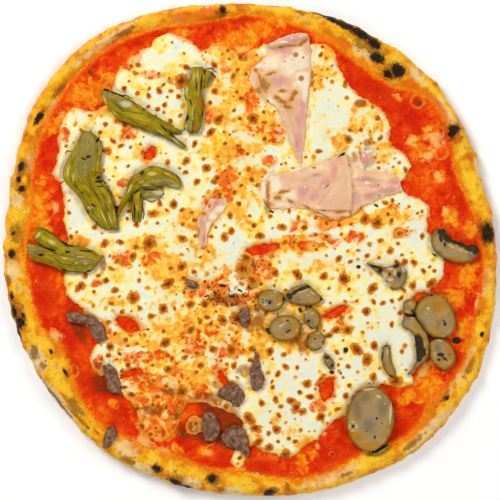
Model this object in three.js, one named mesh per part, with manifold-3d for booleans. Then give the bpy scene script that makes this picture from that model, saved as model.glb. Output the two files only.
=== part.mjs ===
// A four seasons pizza, whole and uncut: a thin hand-stretched base with a puffed rim, tomato sauce,
// melted mozzarella, and four groups of toppings: artichokes, cooked ham, mushrooms and anchovies.
//
// Millimetres, +Z up, standing on Z = 0. Everything is placed on a plan, seen from straight above:
// plan X runs right and plan Y runs down, and one plan unit is PLAN_UNIT millimetres.

import * as THREE from "three";
import { mergeVertices } from "three/addons/utils/BufferGeometryUtils.js";
import Module from "manifold-3d";

const wasm = await Module();
wasm.setup();

// ---------------------------------------------------------------- driving dimensions, in millimetres

const PLAN_UNIT = 0.64; // the base is about 500 plan units across, or 320 mm
const PLAN_CENTRE = [250, 249];
const GAP = 0.3; // between any two pieces, so that they touch without sharing material

const BASE_THICKNESS = 3.6; // baked dough under the sauce
const RIM_HEIGHT = 6.2; // how far the rim's crest stands over the base
const RIM_SWELL = 1.3; // how much that height rises and falls on the way round
const SAUCE_THICKNESS = 1.5;
const SAUCE_RIPPLE = 0.7; // how far the sauce's hollows lie under its top
const CHEESE_THICKNESS = 1.9;
const CHEESE_RIPPLE = 0.55;
const CHEESE_ROUNDING = 0.75;
const FLOOR_SETBACK = 5; // the rim curls up from the surface it stands on, this far in
const ARTICHOKE_HEIGHT = 8.5;
const ARTICHOKE_RIB_DEPTH = 0.9;
const HAM_THICKNESS = 1.4;
const HAM_FOLD_THICKNESS = 3.6; // where a slice is folded over or curled up onto itself
const HAM_WAVE = 1.5;
const MUSHROOM_ROUNDING = 1.1;
const ANCHOVY_HEIGHT = 3.4;
const ANCHOVY_ROUGHNESS = 0.35;

const SAUCE_TOP = BASE_THICKNESS + GAP + SAUCE_THICKNESS;
const BED = SAUCE_TOP + GAP; // cheese and toppings lie at this height

// Radii on the plan every 10 degrees, anticlockwise from plan right.
const DOUGH_EDGE = [
  251, 249, 248, 251, 254, 254, 253, 252, 251, 251, 254, 260, 266, 270, 268, 262, 255, 251,
  251, 251, 251, 250, 251, 253, 253, 251, 250, 251, 253, 257, 261, 267, 266, 265, 260, 254,
];
const SAUCE_EDGE = [
  238, 231, 224, 235, 240, 221, 221, 229, 236, 240, 237, 243, 250, 252, 249, 244, 236, 226,
  230, 228, 227, 215, 229, 233, 227, 223, 228, 226, 238, 240, 237, 250, 241, 247, 241, 241,
];
const SAUCE_CLIMB = 14; // plan units of the rim's inner slope that the sauce runs up

// Blisters in the rim: plan angle in degrees, how wide in degrees, how much higher in millimetres.
const RIM_BLISTERS = [
  { angle: 4, width: 4, height: 1.6 },
  { angle: 30, width: 4, height: 2.2 },
  { angle: 52, width: 4, height: 1.6 },
  { angle: 63, width: 6, height: 2.4 },
  { angle: 98, width: 6, height: 2.0 },
  { angle: 128, width: 7, height: 1.2 },
  { angle: 161, width: 5, height: 1.6 },
  { angle: 186, width: 5, height: 1.0 },
  { angle: 212, width: 8, height: 2.6 },
  { angle: 240, width: 5, height: 1.5 },
  { angle: 256, width: 5, height: 1.9 },
  { angle: 276, width: 4, height: 1.4 },
  { angle: 322, width: 5, height: 1.8 },
];

const AROUND = 80; // facets round the base

// ---------------------------------------------------------------- helpers

// A point of the plan in millimetres.
function onPlan(x, y) {
  return new THREE.Vector2((x - PLAN_CENTRE[0]) * PLAN_UNIT, (PLAN_CENTRE[1] - y) * PLAN_UNIT);
}

// A smooth value between evenly spaced stops round a circle, at an angle in radians.
function roundTheRim(stops, angle) {
  const at = (((angle / (2 * Math.PI)) % 1) + 1) * stops.length;
  const before = Math.floor(at);
  const share = at - before;
  const stop = (k) => stops[(before + k) % stops.length];
  const [p, q, r, s] = [stop(stops.length - 1), stop(0), stop(1), stop(2)];
  const bend = (2 * p - 5 * q + 4 * r - s) * share * share + (3 * q - 3 * r + s - p) * share ** 3;
  return q + 0.5 * ((r - p) * share + bend);
}

// Gentle unevenness of hand-made food: a few crossing waves, from -1 to 1.
function swell(x, y, wavelength, phase) {
  const turn = (2 * Math.PI) / wavelength;
  const first = Math.sin(turn * (x + 0.35 * y) + phase);
  const second = Math.sin(turn * 0.8 * (y - 0.45 * x) + 1.7 * phase + 1);
  const third = Math.sin(turn * 1.45 * (0.6 * x - y) + 2.3 * phase + 2);
  return (first + second + 0.6 * third) / 2.6;
}

// 1 in the middle of 0..1, falling to 0 at both ends. A higher fullness keeps it flat for longer.
function arch(share, fullness) {
  return (1 - Math.abs(2 * share - 1) ** fullness) ** (1 / fullness);
}

// A closed geometry as a solid that can be joined and cut.
function solidOf(geometry) {
  const bare = new THREE.BufferGeometry();
  bare.setAttribute("position", geometry.getAttribute("position"));
  bare.setIndex(geometry.getIndex());
  const merged = mergeVertices(bare, 1e-3);
  return new wasm.Manifold(
    new wasm.Mesh({
      numProp: 3,
      vertProperties: merged.getAttribute("position").array,
      triVerts: new Uint32Array(merged.getIndex().array),
    }),
  );
}

function geometryOf(solid) {
  const { numVert, numProp, vertProperties, triVerts } = solid.getMesh();
  const points = new Float32Array(numVert * 3);
  for (let i = 0; i < numVert; i++) {
    points.set(vertProperties.subarray(i * numProp, i * numProp + 3), i * 3);
  }
  const geometry = new THREE.BufferGeometry();
  geometry.setAttribute("position", new THREE.BufferAttribute(points, 3));
  geometry.setIndex(new THREE.BufferAttribute(triVerts, 1));
  geometry.computeVertexNormals();
  return geometry;
}

// The largest body of a solid: a cut can leave crumbs that would lie loose beside it.
function largestBody(solid) {
  return solid.decompose().reduce((a, b) => (a.volume() > b.volume() ? a : b));
}

// A closed body of rings about the Z axis. place(ring, angle) gives each vertex, and the first and
// last rings lie on the axis.
function ringBody(ringCount, place) {
  const profile = Array.from({ length: ringCount }, (_, ring) => {
    const onAxis = ring === 0 || ring === ringCount - 1;
    return new THREE.Vector2(onAxis ? 0 : 1, ring);
  });
  const body = new THREE.LatheGeometry(profile, AROUND);
  const points = body.getAttribute("position");
  for (let i = 0; i < points.count; i++) {
    const step = Math.floor(i / ringCount) % AROUND;
    points.setXYZ(i, ...place(i % ringCount, (2 * Math.PI * step) / AROUND));
  }
  return solidOf(body);
}

// A box of lengthways x crossways cells whose vertices are then moved. place(u, v, w) gives each
// vertex: u runs 0..1 along the piece, v 0..1 across it, and w is 0 underneath and 1 on top.
function mouldedSlab(lengthways, crossways, place) {
  const slab = new THREE.BoxGeometry(1, 1, 1, lengthways, crossways, 1);
  const points = slab.getAttribute("position");
  for (let i = 0; i < points.count; i++) {
    const [u, v, w] = [points.getX(i) + 0.5, points.getY(i) + 0.5, points.getZ(i) + 0.5];
    points.setXYZ(i, ...place(u, v, w));
  }
  return slab;
}

// A strip between two smooth edges. Each station is a pair of plan points, on the edge to the right
// and on the edge to the left of the way that the strip runs. side(u, v) is the point in millimetres
// at u along it and v across it, from its right edge to its left.
function stripOf(stations) {
  const edge = (which) => {
    const through = stations.map((station) => {
      const place = onPlan(...station[which]);
      return new THREE.Vector3(place.x, place.y, 0);
    });
    return new THREE.CatmullRomCurve3(through);
  };
  const [right, left] = [edge(0), edge(1)];
  return function side(u, v) {
    const here = right.getPoint(u).lerp(left.getPoint(u), v);
    return new THREE.Vector2(here.x, here.y);
  };
}

// A closed smooth outline through plan points, as points in millimetres.
function outlineOf(planPoints, count) {
  const through = planPoints.map(([x, y]) => {
    const place = onPlan(x, y);
    return new THREE.Vector3(place.x, place.y, 0);
  });
  const curve = new THREE.CatmullRomCurve3(through, true, "centripetal");
  return curve.getSpacedPoints(count).slice(0, count).map((p) => new THREE.Vector2(p.x, p.y));
}

// An oval on the plan, with plan radii and a turn in degrees, as points in millimetres.
function ovalOf([x, y, across, down, turn = 0], count) {
  const centre = onPlan(x, y);
  const tilt = THREE.MathUtils.degToRad(turn);
  return Array.from({ length: count }, (_, i) => {
    const angle = (2 * Math.PI * i) / count;
    return new THREE.Vector2(across * Math.cos(angle), down * Math.sin(angle))
      .multiplyScalar(PLAN_UNIT)
      .rotateAround(new THREE.Vector2(0, 0), tilt)
      .add(centre);
  });
}

// An outline moved outwards by a distance, whichever way round it runs.
function grown(outline, distance) {
  const outwards = THREE.ShapeUtils.isClockWise(outline) ? -1 : 1;
  return outline.map((point, i) => {
    const before = outline[(i + outline.length - 1) % outline.length];
    const after = outline[(i + 1) % outline.length];
    const along = after.clone().sub(before).normalize();
    return new THREE.Vector2(along.y, -along.x).multiplyScalar(outwards * distance).add(point);
  });
}

// A plate of an outline between two heights, with its top edge eased by rounding.
function plate(outline, bottom, top, rounding = 0, holes = []) {
  const shape = new THREE.Shape(outline);
  shape.holes = holes.map((hole) => new THREE.Path(hole));
  const geometry = new THREE.ExtrudeGeometry(shape, {
    depth: top - bottom - 2 * rounding,
    bevelEnabled: rounding > 0,
    bevelThickness: rounding,
    bevelSize: rounding,
    bevelOffset: -rounding,
    bevelSegments: 1,
  });
  geometry.translate(0, 0, bottom + rounding);
  return geometry;
}

// ---------------------------------------------------------------- crust: base and rim, baked as one

function rimCrest(angle) {
  const degrees = THREE.MathUtils.radToDeg(angle);
  const blisters = RIM_BLISTERS.map((blister) => {
    const away = THREE.MathUtils.euclideanModulo(degrees - blister.angle + 180, 360) - 180;
    return blister.height * Math.exp(-((away / blister.width) ** 2));
  });
  const wave = RIM_SWELL * (0.6 * Math.sin(3 * angle + 0.5) + 0.4 * Math.sin(7 * angle + 2));
  return RIM_HEIGHT + wave + Math.max(...blisters);
}

// Rings of the top face: how far from the slope's foot (0) over the sauce's edge (1) to the dough's
// edge (2), and what share of the rim's height each ring has.
const RIM_RINGS = [
  { reach: 0, rise: 0 },
  { reach: 0.5, rise: 0.14 },
  { reach: 1, rise: 0.5 },
  { reach: 1.3, rise: 0.87 },
  { reach: 1.55, rise: 1 },
  { reach: 1.82, rise: 0.78 },
  { reach: 2, rise: 0.15 },
];

function rimRadius(reach, angle) {
  const sauceEdge = roundTheRim(SAUCE_EDGE, angle);
  const doughEdge = roundTheRim(DOUGH_EDGE, angle);
  const inside = sauceEdge + (reach - 1) * SAUCE_CLIMB;
  const outside = sauceEdge + (reach - 1) * (doughEdge - sauceEdge);
  return PLAN_UNIT * (reach < 1 ? inside : outside);
}

function polar(radius, angle, height) {
  return [radius * Math.cos(angle), radius * Math.sin(angle), height];
}

function makeCrust() {
  const rings = RIM_RINGS.length;
  return ringBody(rings + 4, (ring, angle) => {
    const edge = rimRadius(2, angle);
    if (ring === 0) return [0, 0, 0];
    if (ring === 1) return polar(edge - FLOOR_SETBACK, angle, 0);
    if (ring === 2) return polar(edge - 0.25 * FLOOR_SETBACK, angle, 0.5 * BASE_THICKNESS);
    if (ring === rings + 3) return [0, 0, BASE_THICKNESS];
    const { reach, rise } = RIM_RINGS[rings + 2 - ring];
    return polar(rimRadius(reach, angle), angle, BASE_THICKNESS + rise * rimCrest(angle));
  });
}

// ---------------------------------------------------------------- tomato sauce, up the rim's slope

const SAUCE_RINGS = [0.45, 0.62, 0.74, 0.86]; // shares of the slope's foot, where the top ripples
const SAUCE_ON_SLOPE = [1, 0.75, 0.3]; // its share of the full thickness on each ring of the slope

// The height of the dough on one of the rim's rings.
function doughHeight(ring, angle) {
  return BASE_THICKNESS + RIM_RINGS[ring].rise * rimCrest(angle);
}

// The height of whatever shows on that ring: sauce on the inner slope, bare dough past it.
function surfaceHeight(ring, angle) {
  const sauce = ring < SAUCE_ON_SLOPE.length ? GAP + SAUCE_ON_SLOPE[ring] * SAUCE_THICKNESS : 0;
  return doughHeight(ring, angle) + sauce;
}

function makeSauce() {
  const slope = SAUCE_ON_SLOPE.length;
  const onSlope = (ring, angle, height) => polar(rimRadius(RIM_RINGS[ring].reach, angle), angle, height);
  return ringBody(2 + 2 * slope + SAUCE_RINGS.length, (ring, angle) => {
    if (ring === 0) return [0, 0, BASE_THICKNESS + GAP];
    if (ring <= slope) return onSlope(ring - 1, angle, doughHeight(ring - 1, angle) + GAP);
    const back = 2 * slope - ring;
    if (back >= 0) return onSlope(back, angle, surfaceHeight(back, angle));
    const inner = SAUCE_RINGS.length + back;
    if (inner < 0) return [0, 0, SAUCE_TOP];
    const [x, y] = polar(SAUCE_RINGS[inner] * rimRadius(0, angle), angle, 0);
    return [x, y, SAUCE_TOP - SAUCE_RIPPLE * (0.5 + 0.5 * swell(x, y, 46, 0.4))];
  });
}

// Everything up to the surface that the cheese and toppings lie on, with a little less than the gap.
const BED_CLEARANCE = 0.8 * GAP;

function makeBed() {
  const rings = RIM_RINGS.length;
  return ringBody(rings + 3, (ring, angle) => {
    if (ring === 0) return [0, 0, 0];
    if (ring === 1) return polar(rimRadius(2, angle), angle, 0);
    if (ring === rings + 2) return [0, 0, SAUCE_TOP + BED_CLEARANCE];
    const at = rings + 1 - ring;
    const height = surfaceHeight(at, angle) + BED_CLEARANCE;
    return polar(rimRadius(RIM_RINGS[at].reach, angle), angle, height);
  });
}

// How far the surface at a point has climbed over the flat bed.
function climb(x, y) {
  const angle = Math.atan2(y, x);
  const radius = Math.hypot(x, y);
  const radii = RIM_RINGS.map(({ reach }) => rimRadius(reach, angle));
  const past = radii.findIndex((r) => r > radius);
  if (past === 0) return 0;
  if (past < 0) return surfaceHeight(RIM_RINGS.length - 1, angle) - SAUCE_TOP;
  const share = (radius - radii[past - 1]) / (radii[past] - radii[past - 1]);
  const heights = [surfaceHeight(past - 1, angle), surfaceHeight(past, angle)];
  return THREE.MathUtils.lerp(...heights, share) - SAUCE_TOP;
}

// A topping laid on the bed follows the rim's slope where it reaches that far.
function settled(geometry) {
  const points = geometry.getAttribute("position");
  for (let i = 0; i < points.count; i++) {
    points.setZ(i, points.getZ(i) + climb(points.getX(i), points.getY(i)));
  }
  return geometry;
}

// ---------------------------------------------------------------- melted mozzarella

// The sheet's outer edge on the plan, clockwise from the top left.
const CHEESE_EDGE = [
  [157, 32], [168, 28], [182, 33], [194, 39], [201, 48], [214, 41], [229, 41], [239, 53],
  [248, 49], [258, 41], [276, 40], [300, 43], [318, 39], [334, 42], [339, 58], [346, 72],
  [354, 86], [372, 98], [386, 109], [394, 125], [390, 138], [401, 148], [414, 158], [412, 171],
  [402, 180], [409, 192], [430, 201], [433, 213], [428, 223], [435, 238], [438, 254], [448, 263],
  [445, 279], [431, 290], [410, 297], [405, 310], [413, 324], [419, 337], [420, 353], [415, 367],
  [416, 384], [403, 389], [386, 386], [364, 387], [352, 400], [347, 413], [330, 427], [319, 441],
  [304, 448], [291, 461], [274, 456], [252, 448], [246, 434], [240, 419], [222, 411], [205, 404],
  [190, 403], [180, 412], [178, 427], [170, 438], [158, 444], [145, 440], [137, 431], [138, 419],
  [131, 405], [117, 394], [104, 379], [89, 371], [88, 357], [95, 343], [105, 338], [98, 322],
  [82, 309], [66, 299], [62, 282], [60, 262], [66, 240], [61, 219], [62, 198], [57, 181],
  [49, 169], [56, 155], [55, 136], [60, 115], [72, 103], [84, 108], [100, 105], [108, 92],
  [112, 77], [121, 60], [136, 49], [149, 41],
];
const CHEESE_EDGE_POINTS = 120;
const CHEESE_CELLS = 16; // the bumpy top is this many cells across

// Where the sheet has torn and the sauce shows, as ovals: plan x, y, radii, turn in degrees.
const CHEESE_HOLES = [
  [149, 151, 9, 5, 48], // beside the upper artichokes
  [126, 324, 13, 7, -28],
  [131, 374, 11, 4, 15],
  [262, 248, 17, 5, 8], // in the middle
  [337, 312, 14, 5, 22],
  [328, 390, 7, 12, -15],
  [222, 379, 4, 8, 20],
];

// Drops of cheese that melted by themselves in the sauce.
const CHEESE_DROPS = {
  mozzarella_drop_bottom: [238, 462, 7, 9, 15],
  mozzarella_drop_left: [194, 427, 9, 10, -20],
};

function cheeseRelief() {
  const width = 2 * Math.max(...DOUGH_EDGE) * PLAN_UNIT;
  const block = new THREE.BoxGeometry(width, width, 1, CHEESE_CELLS, CHEESE_CELLS, 1);
  const points = block.getAttribute("position");
  for (let i = 0; i < points.count; i++) {
    const [x, y] = [points.getX(i), points.getY(i)];
    const bump = CHEESE_RIPPLE * (0.6 * swell(x, y, 38, 1.1) + 0.4 * swell(y, x, 21, 2.9));
    points.setZ(i, points.getZ(i) > 0 ? BED + CHEESE_THICKNESS + bump : 0);
  }
  return solidOf(block);
}

function makeCheese() {
  const edge = outlineOf(CHEESE_EDGE, CHEESE_EDGE_POINTS);
  const holes = CHEESE_HOLES.map((hole) => ovalOf(hole, 9));
  const top = BED + CHEESE_THICKNESS + CHEESE_RIPPLE;
  const sheet = solidOf(plate(edge, BED, top, CHEESE_ROUNDING, holes));
  return sheet.intersect(cheeseRelief());
}

// ---------------------------------------------------------------- toppings

// Each topping gives its raw solid and its outlines on the bed, which the cheese leaves open.

// A strip with one cell from each station to the next. top(u, v, place) is its thickness over the
// bed, and under(u, v, place) how far it stands off the bed.
function makeStrip(stations, crossways, top, under = () => 0) {
  const side = stripOf(stations);
  const steps = stations.length - 1;
  const strip = mouldedSlab(steps, crossways, (u, v, w) => {
    const place = side(u, v);
    return [place.x, place.y, BED + under(u, v, place) + w * top(u, v, place)];
  });
  const along = Array.from({ length: steps + 1 }, (_, i) => i / steps);
  const right = along.map((u) => side(u, 0));
  const left = along.map((u) => side(u, 1)).reverse();
  return { body: solidOf(settled(strip)), outlines: [[...right, ...left]] };
}

// Several strips grown or folded together.
function joined(strips) {
  const body = strips.map((strip) => strip.body).reduce((a, b) => a.add(b));
  return { body, outlines: strips.flatMap((strip) => strip.outlines) };
}

// Artichoke heart, quartered lengthways: ribbed bracts that fold over each other, thickest at the
// heart and frayed thin at the tip. Each bract has its share of the full height.
const ARTICHOKE_RIBS = 3;
const ARTICHOKES = {
  artichoke_top_left: [
    {
      stations: [
        [[100, 88], [103, 85]], [[100, 94], [111, 88]], [[104, 102], [121, 92]],
        [[110, 110], [131, 98]], [[117, 117], [140, 103]], [[127, 121], [148, 109]],
        [[137, 125], [155, 115]], [[147, 129], [162, 121]], [[158, 132], [167, 127]],
        [[170, 138], [174, 134]], [[183, 147], [186, 144]],
      ],
      across: 6,
      share: 1,
    },
    {
      stations: [[[156, 124], [152, 112]], [[166, 129], [164, 118]], [[180, 132], [182, 129]]],
      across: 3,
      share: 0.6,
    },
  ],
  artichoke_top: [
    {
      stations: [
        [[191, 64], [202, 63]], [[190, 71], [205, 70]], [[188, 78], [205, 77]],
        [[184, 85], [203, 84]], [[184, 93], [201, 92]], [[187, 101], [203, 100]],
        [[187, 108], [203, 107]], [[185, 116], [202, 115]], [[183, 124], [201, 123]],
        [[188, 131], [198, 130]],
      ],
      across: 6,
      share: 1,
    },
    {
      stations: [[[203, 65], [214, 70]], [[202, 75], [210, 77]], [[201, 86], [205, 85]]],
      across: 3,
      share: 0.75,
    },
  ],
  artichoke_left: [
    {
      stations: [
        [[82, 128], [90, 129]], [[76, 138], [98, 137]], [[71, 148], [101, 147]],
        [[65, 158], [99, 157]], [[61, 168], [98, 166]], [[61, 177], [99, 174]],
        [[67, 185], [103, 181]], [[74, 191], [108, 188]], [[79, 199], [112, 196]],
        [[83, 207], [113, 204]], [[87, 215], [115, 212]], [[95, 223], [116, 220]],
        [[105, 229], [117, 228]],
      ],
      across: 6,
      share: 1,
    },
  ],
  artichoke_arched: [
    {
      stations: [
        [[116, 216], [114, 216]], [[121, 208], [117, 205]], [[127, 199], [121, 197]],
        [[132, 192], [125, 189]], [[137, 188], [127, 181]], [[142, 186], [131, 174]],
        [[148, 186], [139, 169]], [[154, 186], [148, 164]], [[160, 185], [157, 164]],
        [[166, 184], [167, 168]], [[172, 185], [177, 173]], [[179, 187], [181, 182]],
      ],
      across: 5,
      share: 0.85,
    },
    {
      stations: [
        [[128, 186], [144, 184]], [[128, 196], [142, 195]], [[130, 208], [141, 207]],
        [[131, 220], [139, 221]],
      ],
      across: 3,
      share: 0.5,
    },
    {
      stations: [[[140, 197], [140, 184]], [[151, 200], [151, 183]], [[163, 197], [163, 183]]],
      across: 2,
      share: 0.35,
    },
  ],
  artichoke_lower_left: [
    {
      stations: [
        [[27, 257], [24, 242]], [[34, 261], [32, 244]], [[43, 263], [41, 247]],
        [[51, 266], [50, 247]], [[59, 270], [59, 245]], [[68, 272], [67, 244]],
        [[76, 271], [76, 245]], [[83, 272], [85, 247]], [[89, 271], [93, 251]],
        [[94, 266], [98, 254]], [[98, 261], [102, 255]],
      ],
      across: 6,
      share: 0.8,
    },
    {
      stations: [
        [[31, 238], [36, 226]], [[37, 243], [43, 227]], [[44, 247], [50, 232]],
        [[53, 250], [57, 238]], [[64, 252], [66, 244]],
      ],
      across: 3,
      share: 1,
    },
  ],
};

function makeBract({ stations, across, share }) {
  return makeStrip(stations, across, (u, v) => {
    const ribs = ARTICHOKE_RIB_DEPTH * Math.cos(2 * Math.PI * ARTICHOKE_RIBS * v + 2.5 * u);
    const heap = arch(0.04 + 0.92 * u, 2.4) * arch(0.06 + 0.88 * v, 2.2);
    return share * ARTICHOKE_HEIGHT * (0.12 + 0.88 * heap * (1 - 0.2 * u)) + ribs * heap;
  });
}

// Cooked ham, thin sliced and torn: each piece is a wavy sheet with both faces alike. The tall
// slice's top edge is curled up and the wide slice's middle is pleated, which makes them thicker.
const HAM = {
  ham_tall: {
    stations: [
      [[270, 43], [310, 31]], [[268, 50], [311, 42]], [[261, 57], [312, 53]],
      [[252, 66], [312, 64]], [[249, 76], [311, 75]], [[255, 87], [310, 86]],
      [[266, 97], [309, 97]], [[278, 105], [308, 107]], [[283, 116], [307, 118]],
      [[288, 127], [306, 129]], [[290, 138], [305, 140]], [[296, 150], [303, 151]],
      [[300, 161], [303, 161]],
    ],
    across: 6,
    fold: [
      [[271, 45], [269, 40]], [[282, 43], [279, 35]], [[292, 42], [290, 31]],
      [[301, 40], [300, 29]], [[309, 34], [309, 30]],
    ],
  },
  ham_wide: {
    stations: [
      [[262, 196], [261, 180]], [[271, 206], [270, 174]], [[283, 208], [283, 171]],
      [[295, 205], [295, 169]], [[306, 207], [307, 166]], [[317, 213], [318, 162]],
      [[328, 218], [329, 158]], [[339, 219], [339, 152]], [[350, 215], [350, 153]],
      [[359, 210], [360, 166]], [[368, 203], [370, 168]], [[378, 198], [380, 169]],
      [[389, 193], [390, 171]], [[398, 191], [399, 174]], [[405, 189], [403, 180]],
    ],
    across: 6,
    fold: [
      [[340, 153], [349, 153]], [[340, 165], [351, 165]], [[338, 175], [353, 176]],
      [[328, 185], [354, 187]], [[320, 196], [354, 198]], [[315, 208], [353, 210]],
    ],
  },
  ham_small_right: {
    stations: [
      [[361, 144], [369, 147]], [[361, 150], [379, 149]], [[363, 157], [377, 156]],
      [[366, 165], [371, 163]],
    ],
    across: 3,
  },
  ham_small_left: {
    stations: [
      [[210, 196], [226, 196]], [[207, 203], [227, 204]], [[201, 210], [222, 211]],
      [[197, 218], [215, 218]], [[197, 226], [209, 226]], [[198, 235], [207, 235]],
      [[200, 248], [205, 248]],
    ],
    across: 3,
  },
};

function makeHam({ stations, across, fold }) {
  const lift = (u, v, place) => {
    const wave = HAM_WAVE * (0.5 + 0.5 * swell(place.x, place.y, 24, 0.8));
    return wave * arch(0.02 + 0.96 * u, 3) * arch(0.02 + 0.96 * v, 3);
  };
  const slice = makeStrip(stations, across, () => HAM_THICKNESS, lift);
  return fold ? joined([slice, makeStrip(fold, 3, () => HAM_FOLD_THICKNESS, lift)]) : slice;
}

// Sliced mushrooms: flat slices of cap or stem, and curved ones cut through a cap with its gills.
const MUSHROOM_SLICES = {
  mushroom_round_a: { oval: [271.5, 300, 14, 11.5], thickness: 4.4 },
  mushroom_round_b: { oval: [286, 328, 16.5, 13.5, 8], thickness: 5 },
  mushroom_behind: { oval: [313, 318, 8.5, 11, 20], thickness: 4 },
  mushroom_chopped: { oval: [317, 341, 9, 10.5, -25], thickness: 3.6 },
  mushroom_large: { oval: [372, 420, 24.5, 33, -6], thickness: 6.2 },
  mushroom_small: {
    edge: [
      [433, 342], [438, 339], [445, 339], [451, 342], [456, 349], [459, 358], [456, 365],
      [448, 371], [441, 368], [434, 361], [432, 351],
    ],
    thickness: 4,
  },
  mushroom_cap: {
    edge: [
      [420, 303], [430, 295], [441, 293], [449, 298], [455, 309], [459, 323], [455, 334],
      [446, 338], [433, 336], [424, 325], [417, 313],
    ],
    thickness: 5.6,
  },
  mushroom_cap_side: {
    edge: [[405, 306], [408, 300], [415, 298], [419, 302], [417, 311], [411, 316], [406, 314]],
    thickness: 3.4,
  },
  mushroom_banded: {
    edge: [
      [286, 299], [290, 290], [299, 285], [308, 283], [316, 291], [324, 297], [320, 303],
      [306, 305], [294, 303],
    ],
    thickness: 4.4,
  },
  mushroom_stem: {
    edge: [
      [383, 354], [386, 347], [390, 343], [392, 352], [393, 362], [396, 369], [399, 377],
      [392, 377], [387, 372], [384, 363],
    ],
    thickness: 3.6,
  },
  mushroom_under_cheese: {
    edge: [
      [368, 262], [381, 265], [392, 266], [402, 262], [409, 271], [407, 283], [398, 290],
      [390, 286], [386, 277], [377, 270],
    ],
    thickness: 3.4,
  },
  mushroom_dark_bit: { oval: [330, 362, 4.5, 9, 28], thickness: 3 },
};
const MUSHROOM_CRESCENTS = {
  mushroom_gilled_right: {
    stations: [
      [[437, 229], [447, 227]], [[434, 236], [450, 233]], [[434, 244], [454, 238]],
      [[438, 251], [460, 240]], [[446, 257], [466, 242]], [[456, 261], [471, 245]],
      [[466, 262], [475, 243]], [[475, 260], [479, 244]], [[481, 254], [482, 249]],
    ],
    thickness: 5.2,
  },
  mushroom_gilled_left: {
    stations: [
      [[404, 326], [406, 313]], [[409, 329], [414, 314]], [[414, 332], [422, 321]],
      [[417, 338], [429, 331]], [[418, 346], [432, 342]], [[419, 354], [432, 353]],
      [[419, 362], [428, 362]], [[415, 370], [419, 369]], [[410, 375], [411, 376]],
    ],
    thickness: 4.8,
  },
  mushroom_dark_crescent: {
    stations: [
      [[373, 457], [374, 452]], [[380, 457], [379, 450]], [[387, 453], [384, 446]],
      [[391, 447], [389, 443]],
    ],
    thickness: 2.6,
  },
};

function makeMushroomSlice({ oval, edge, thickness }) {
  const outline = oval ? ovalOf(oval, 16) : outlineOf(edge, 16);
  const slice = plate(outline, BED, BED + thickness, MUSHROOM_ROUNDING);
  return { body: solidOf(settled(slice)), outlines: [outline] };
}

function makeMushroomCrescent({ stations, thickness }) {
  return makeStrip(stations, 4, (u, v) => {
    const back = arch(0.08 + 0.84 * u, 3) * arch(0.12 + 0.8 * v, 2.6);
    return thickness * (0.2 + 0.8 * back);
  });
}

// Anchovy fillets, torn across: low rounded strips with a rough top.
const ANCHOVIES = {
  anchovy_left_long: [
    [[66, 321], [64, 314]], [[74, 323], [72, 311]], [[82, 324], [83, 314]],
    [[88, 331], [93, 318]], [[91, 337], [102, 327]], [[96, 343], [105, 339]],
  ],
  anchovy_left_short: [
    [[102, 366], [108, 364]], [[102, 372], [115, 371]], [[104, 379], [117, 379]],
    [[105, 387], [119, 387]], [[109, 394], [120, 395]],
  ],
  anchovy_on_rim: [
    [[108, 428], [113, 428]], [[104, 434], [116, 435]], [[102, 442], [113, 443]],
    [[101, 449], [106, 450]],
  ],
  anchovy_middle: [
    [[255, 353], [258, 352]], [[253, 362], [260, 362]], [[251, 371], [262, 371]],
    [[250, 380], [265, 380]], [[251, 388], [263, 388]], [[254, 392], [259, 392]],
  ],
  anchovy_centre_low: [
    [[218, 397], [218, 392]], [[224, 400], [226, 386]], [[230, 403], [235, 385]],
    [[234, 407], [243, 391]], [[239, 408], [245, 399]],
  ],
  anchovy_low_left: [
    [[203, 414], [210, 412]], [[202, 421], [216, 418]], [[202, 429], [219, 426]],
    [[203, 437], [219, 435]], [[205, 443], [214, 443]],
  ],
  anchovy_low_right: [
    [[220, 438], [225, 430]], [[223, 444], [234, 426]], [[230, 449], [244, 430]],
    [[237, 451], [248, 439]], [[243, 455], [248, 447]], [[247, 459], [251, 454]],
  ],
  anchovy_centre: [
    [[241, 309], [248, 307]], [[239, 315], [250, 314]], [[239, 321], [250, 321]],
    [[241, 327], [247, 327]],
  ],
  anchovy_small: [[[185, 284], [187, 279]], [[190, 287], [192, 280]], [[197, 287], [198, 283]]],
};

function makeAnchovy(stations) {
  return makeStrip(stations, 4, (u, v, place) => {
    const back = arch(0.06 + 0.88 * u, 2.6) * arch(0.08 + 0.84 * v, 2.2);
    const rough = ANCHOVY_ROUGHNESS * swell(place.x, place.y, 6.5, 0.3);
    return ANCHOVY_HEIGHT * (0.2 + 0.8 * back) + rough * back;
  });
}

// ---------------------------------------------------------------- laying the pizza

const COLOURS = {
  crust: { color: 0xe8bd6a, roughness: 0.85 },
  tomato_sauce: { color: 0xd93a0c, roughness: 0.35 },
  mozzarella: { color: 0xf3e9c6, roughness: 0.4 },
  artichoke: { color: 0x9a8f34, roughness: 0.45 },
  ham: { color: 0xe6b3a2, roughness: 0.4 },
  mushroom: { color: 0xa08a5f, roughness: 0.4 },
  anchovy: { color: 0x73594f, roughness: 0.5 },
};

function nodeOf(name, finish, solid) {
  const node = new THREE.Mesh(geometryOf(solid), new THREE.MeshStandardMaterial(COLOURS[finish]));
  node.name = name;
  return node;
}

// What lies on the bed is cut clear of it, and of whatever was laid before.
const bed = makeBed();
const laid = [];

function clearOfRest(body) {
  return largestBody(laid.reduce((a, piece) => a.subtract(piece.space), body.subtract(bed)));
}

function spaceOver(outline) {
  return solidOf(plate(grown(outline, GAP), 0, 4 * BED));
}

function lay(name, finish, { body, outlines }) {
  const space = outlines.map(spaceOver).reduce((a, b) => a.add(b));
  laid.push({ name, finish, solid: clearOfRest(body), space });
}

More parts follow.
